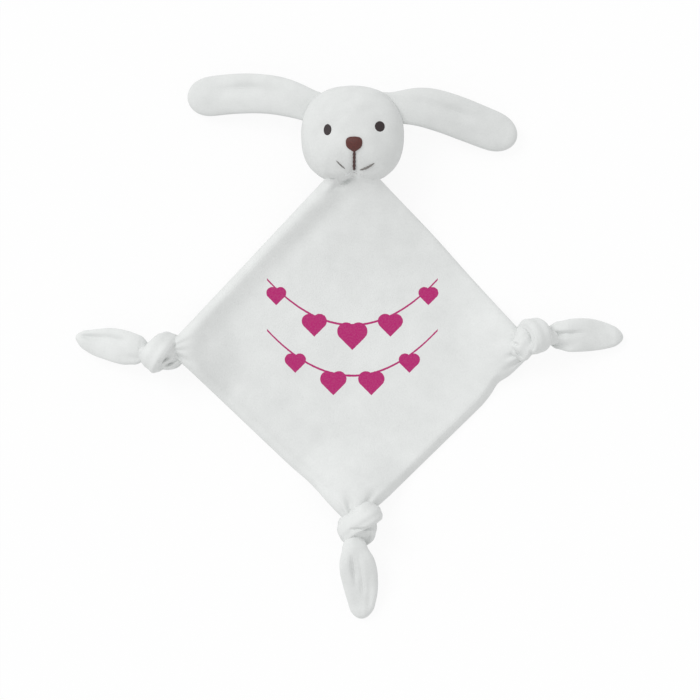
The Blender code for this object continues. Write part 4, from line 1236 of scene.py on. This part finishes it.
edge_runs = []
inside_edge = 0.0009 / SIDE
t = np.linspace(0.0, 1.0, 420)
inner_low, inner_high = 0 * t + inside_edge, 0 * t + 1 - inside_edge
for u, v in ((t, inner_low), (inner_high, t), (1 - t, inner_high), (inner_low, 1 - t)):
    route = cloth(u, v, 0.0)
    keep = route[:, 1] < NECK_CUT_Y - 0.001
    for root, way in corners.values():
        inward = -((route[:, 0] - root[0]) * way[0] + (route[:, 1] - root[1]) * way[1])
        keep &= inward > CORNER_CUT + 0.001
    edge_runs.append(stitches(route[keep], 0.00035))
edge_seam = make_piece("blanket_edge_thread", edge_runs, sewing_thread, merge=1e-7)
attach(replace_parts(edge_seam, "blanket_edge_seam"), "blanket")

x = np.linspace(-0.0185, 0.0215, 90)
chin_runs = [stitches(on_chin_line(x, -0.0004, -0.0006), 0.0004)]
for x in (np.linspace(-0.0046, -0.0004, 24), np.linspace(0.0026, 0.0098, 36)):
    chin_runs.append(stitches(on_chin_line(x, 0.0012, 0.0002), 0.00042))
chin_thread = make_piece("neck_sewing_thread", chin_runs, sewing_thread, merge=1e-7)
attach(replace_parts(chin_thread, "neck_stitching"), "neck")
print("seams", len(edge_runs), "along the edge and", len(chin_runs), "under the chin")

# %% [markdown]
# ## Table, light and camera
# The picture is a cut-out on white: one soft lamp high at the upper left, an even pale room all
# round, and a table that the camera sees nearly white, with only a breath of shadow.

# %% Stage
TABLE_GLOW = 0.90
ROOM_LIGHT = 0.80


def white_table():
    """Matt white that also glows for the camera's own rays, and so stays white beside the toy."""
    made, tree, shader = new_material("white_table")
    shader.inputs["Base Color"].default_value = linear("#F4F4F4")
    shader.inputs["Roughness"].default_value = 0.9
    shader.inputs["Specular IOR Level"].default_value = 0.0
    glow = add_node(tree, "Emission", Color=(1.0, 1.0, 1.0, 1.0), Strength=1.0)
    path = add_node(tree, "LightPath")
    seen = add_node(
        tree, "Math", {"operation": "MAXIMUM"},
        _0=path.outputs["Is Camera Ray"], _1=path.outputs["Is Glossy Ray"],
    )
    share = add_node(tree, "Math", {"operation": "MULTIPLY"}, _0=seen.outputs[0], _1=TABLE_GLOW)
    mixed = add_node(tree, "MixShader", _0=share.outputs[0], _1=shader.outputs[0], _2=glow.outputs[0])
    tree.links.new(mixed.outputs[0], tree.nodes["Material Output"].inputs["Surface"])
    return made


bpy.ops.mesh.primitive_plane_add(size=12.0, location=(0.0, 0.0, -0.0001))
table = bpy.context.active_object
table.name = "table"
table.data.materials.append(white_table())

world = bpy.data.worlds.new("pale_room")
bpy.context.scene.world = world
world.use_nodes = True
room = world.node_tree
room.nodes["Background"].inputs["Color"].default_value = (1.0, 1.0, 1.0, 1.0)
path = add_node(room, "LightPath")
seen = add_node(
    room, "Math", {"operation": "MAXIMUM"},
    _0=path.outputs["Is Camera Ray"], _1=path.outputs["Is Glossy Ray"],
)
level = add_node(room, "MapRange", Value=seen.outputs[0], _1=0.0, _2=1.0, _3=ROOM_LIGHT, _4=1.0)
room.links.new(level.outputs["Result"], room.nodes["Background"].inputs["Strength"])

lamp_data = bpy.data.lights.new("window", "SUN")
lamp_data.energy = 1.0
lamp_data.angle = math.radians(28.0)
lamp = bpy.data.objects.new("window", lamp_data)
bpy.context.scene.collection.objects.link(lamp)
lamp.rotation_euler = (math.radians(-26.0), math.radians(-38.0), 0.0)
print("a", table.name, "in a room with one lamp,", lamp.name)

# %% Camera
PICTURE_WIDTH = 0.525
PICTURE_MIDDLE = (-0.00075, -0.00825)
CAMERA_HEIGHT = 12.0
SENSOR_WIDTH = 36.0
camera_data = bpy.data.cameras.new("camera")
camera_data.sensor_width = SENSOR_WIDTH
camera_data.lens = SENSOR_WIDTH * CAMERA_HEIGHT / PICTURE_WIDTH
camera = bpy.data.objects.new("camera", camera_data)
bpy.context.scene.collection.objects.link(camera)
camera.location = (*PICTURE_MIDDLE, CAMERA_HEIGHT)
bpy.context.scene.camera = camera
bpy.context.scene.view_settings.view_transform = "Standard"
print("camera with a lens of", round(camera_data.lens), "mm")
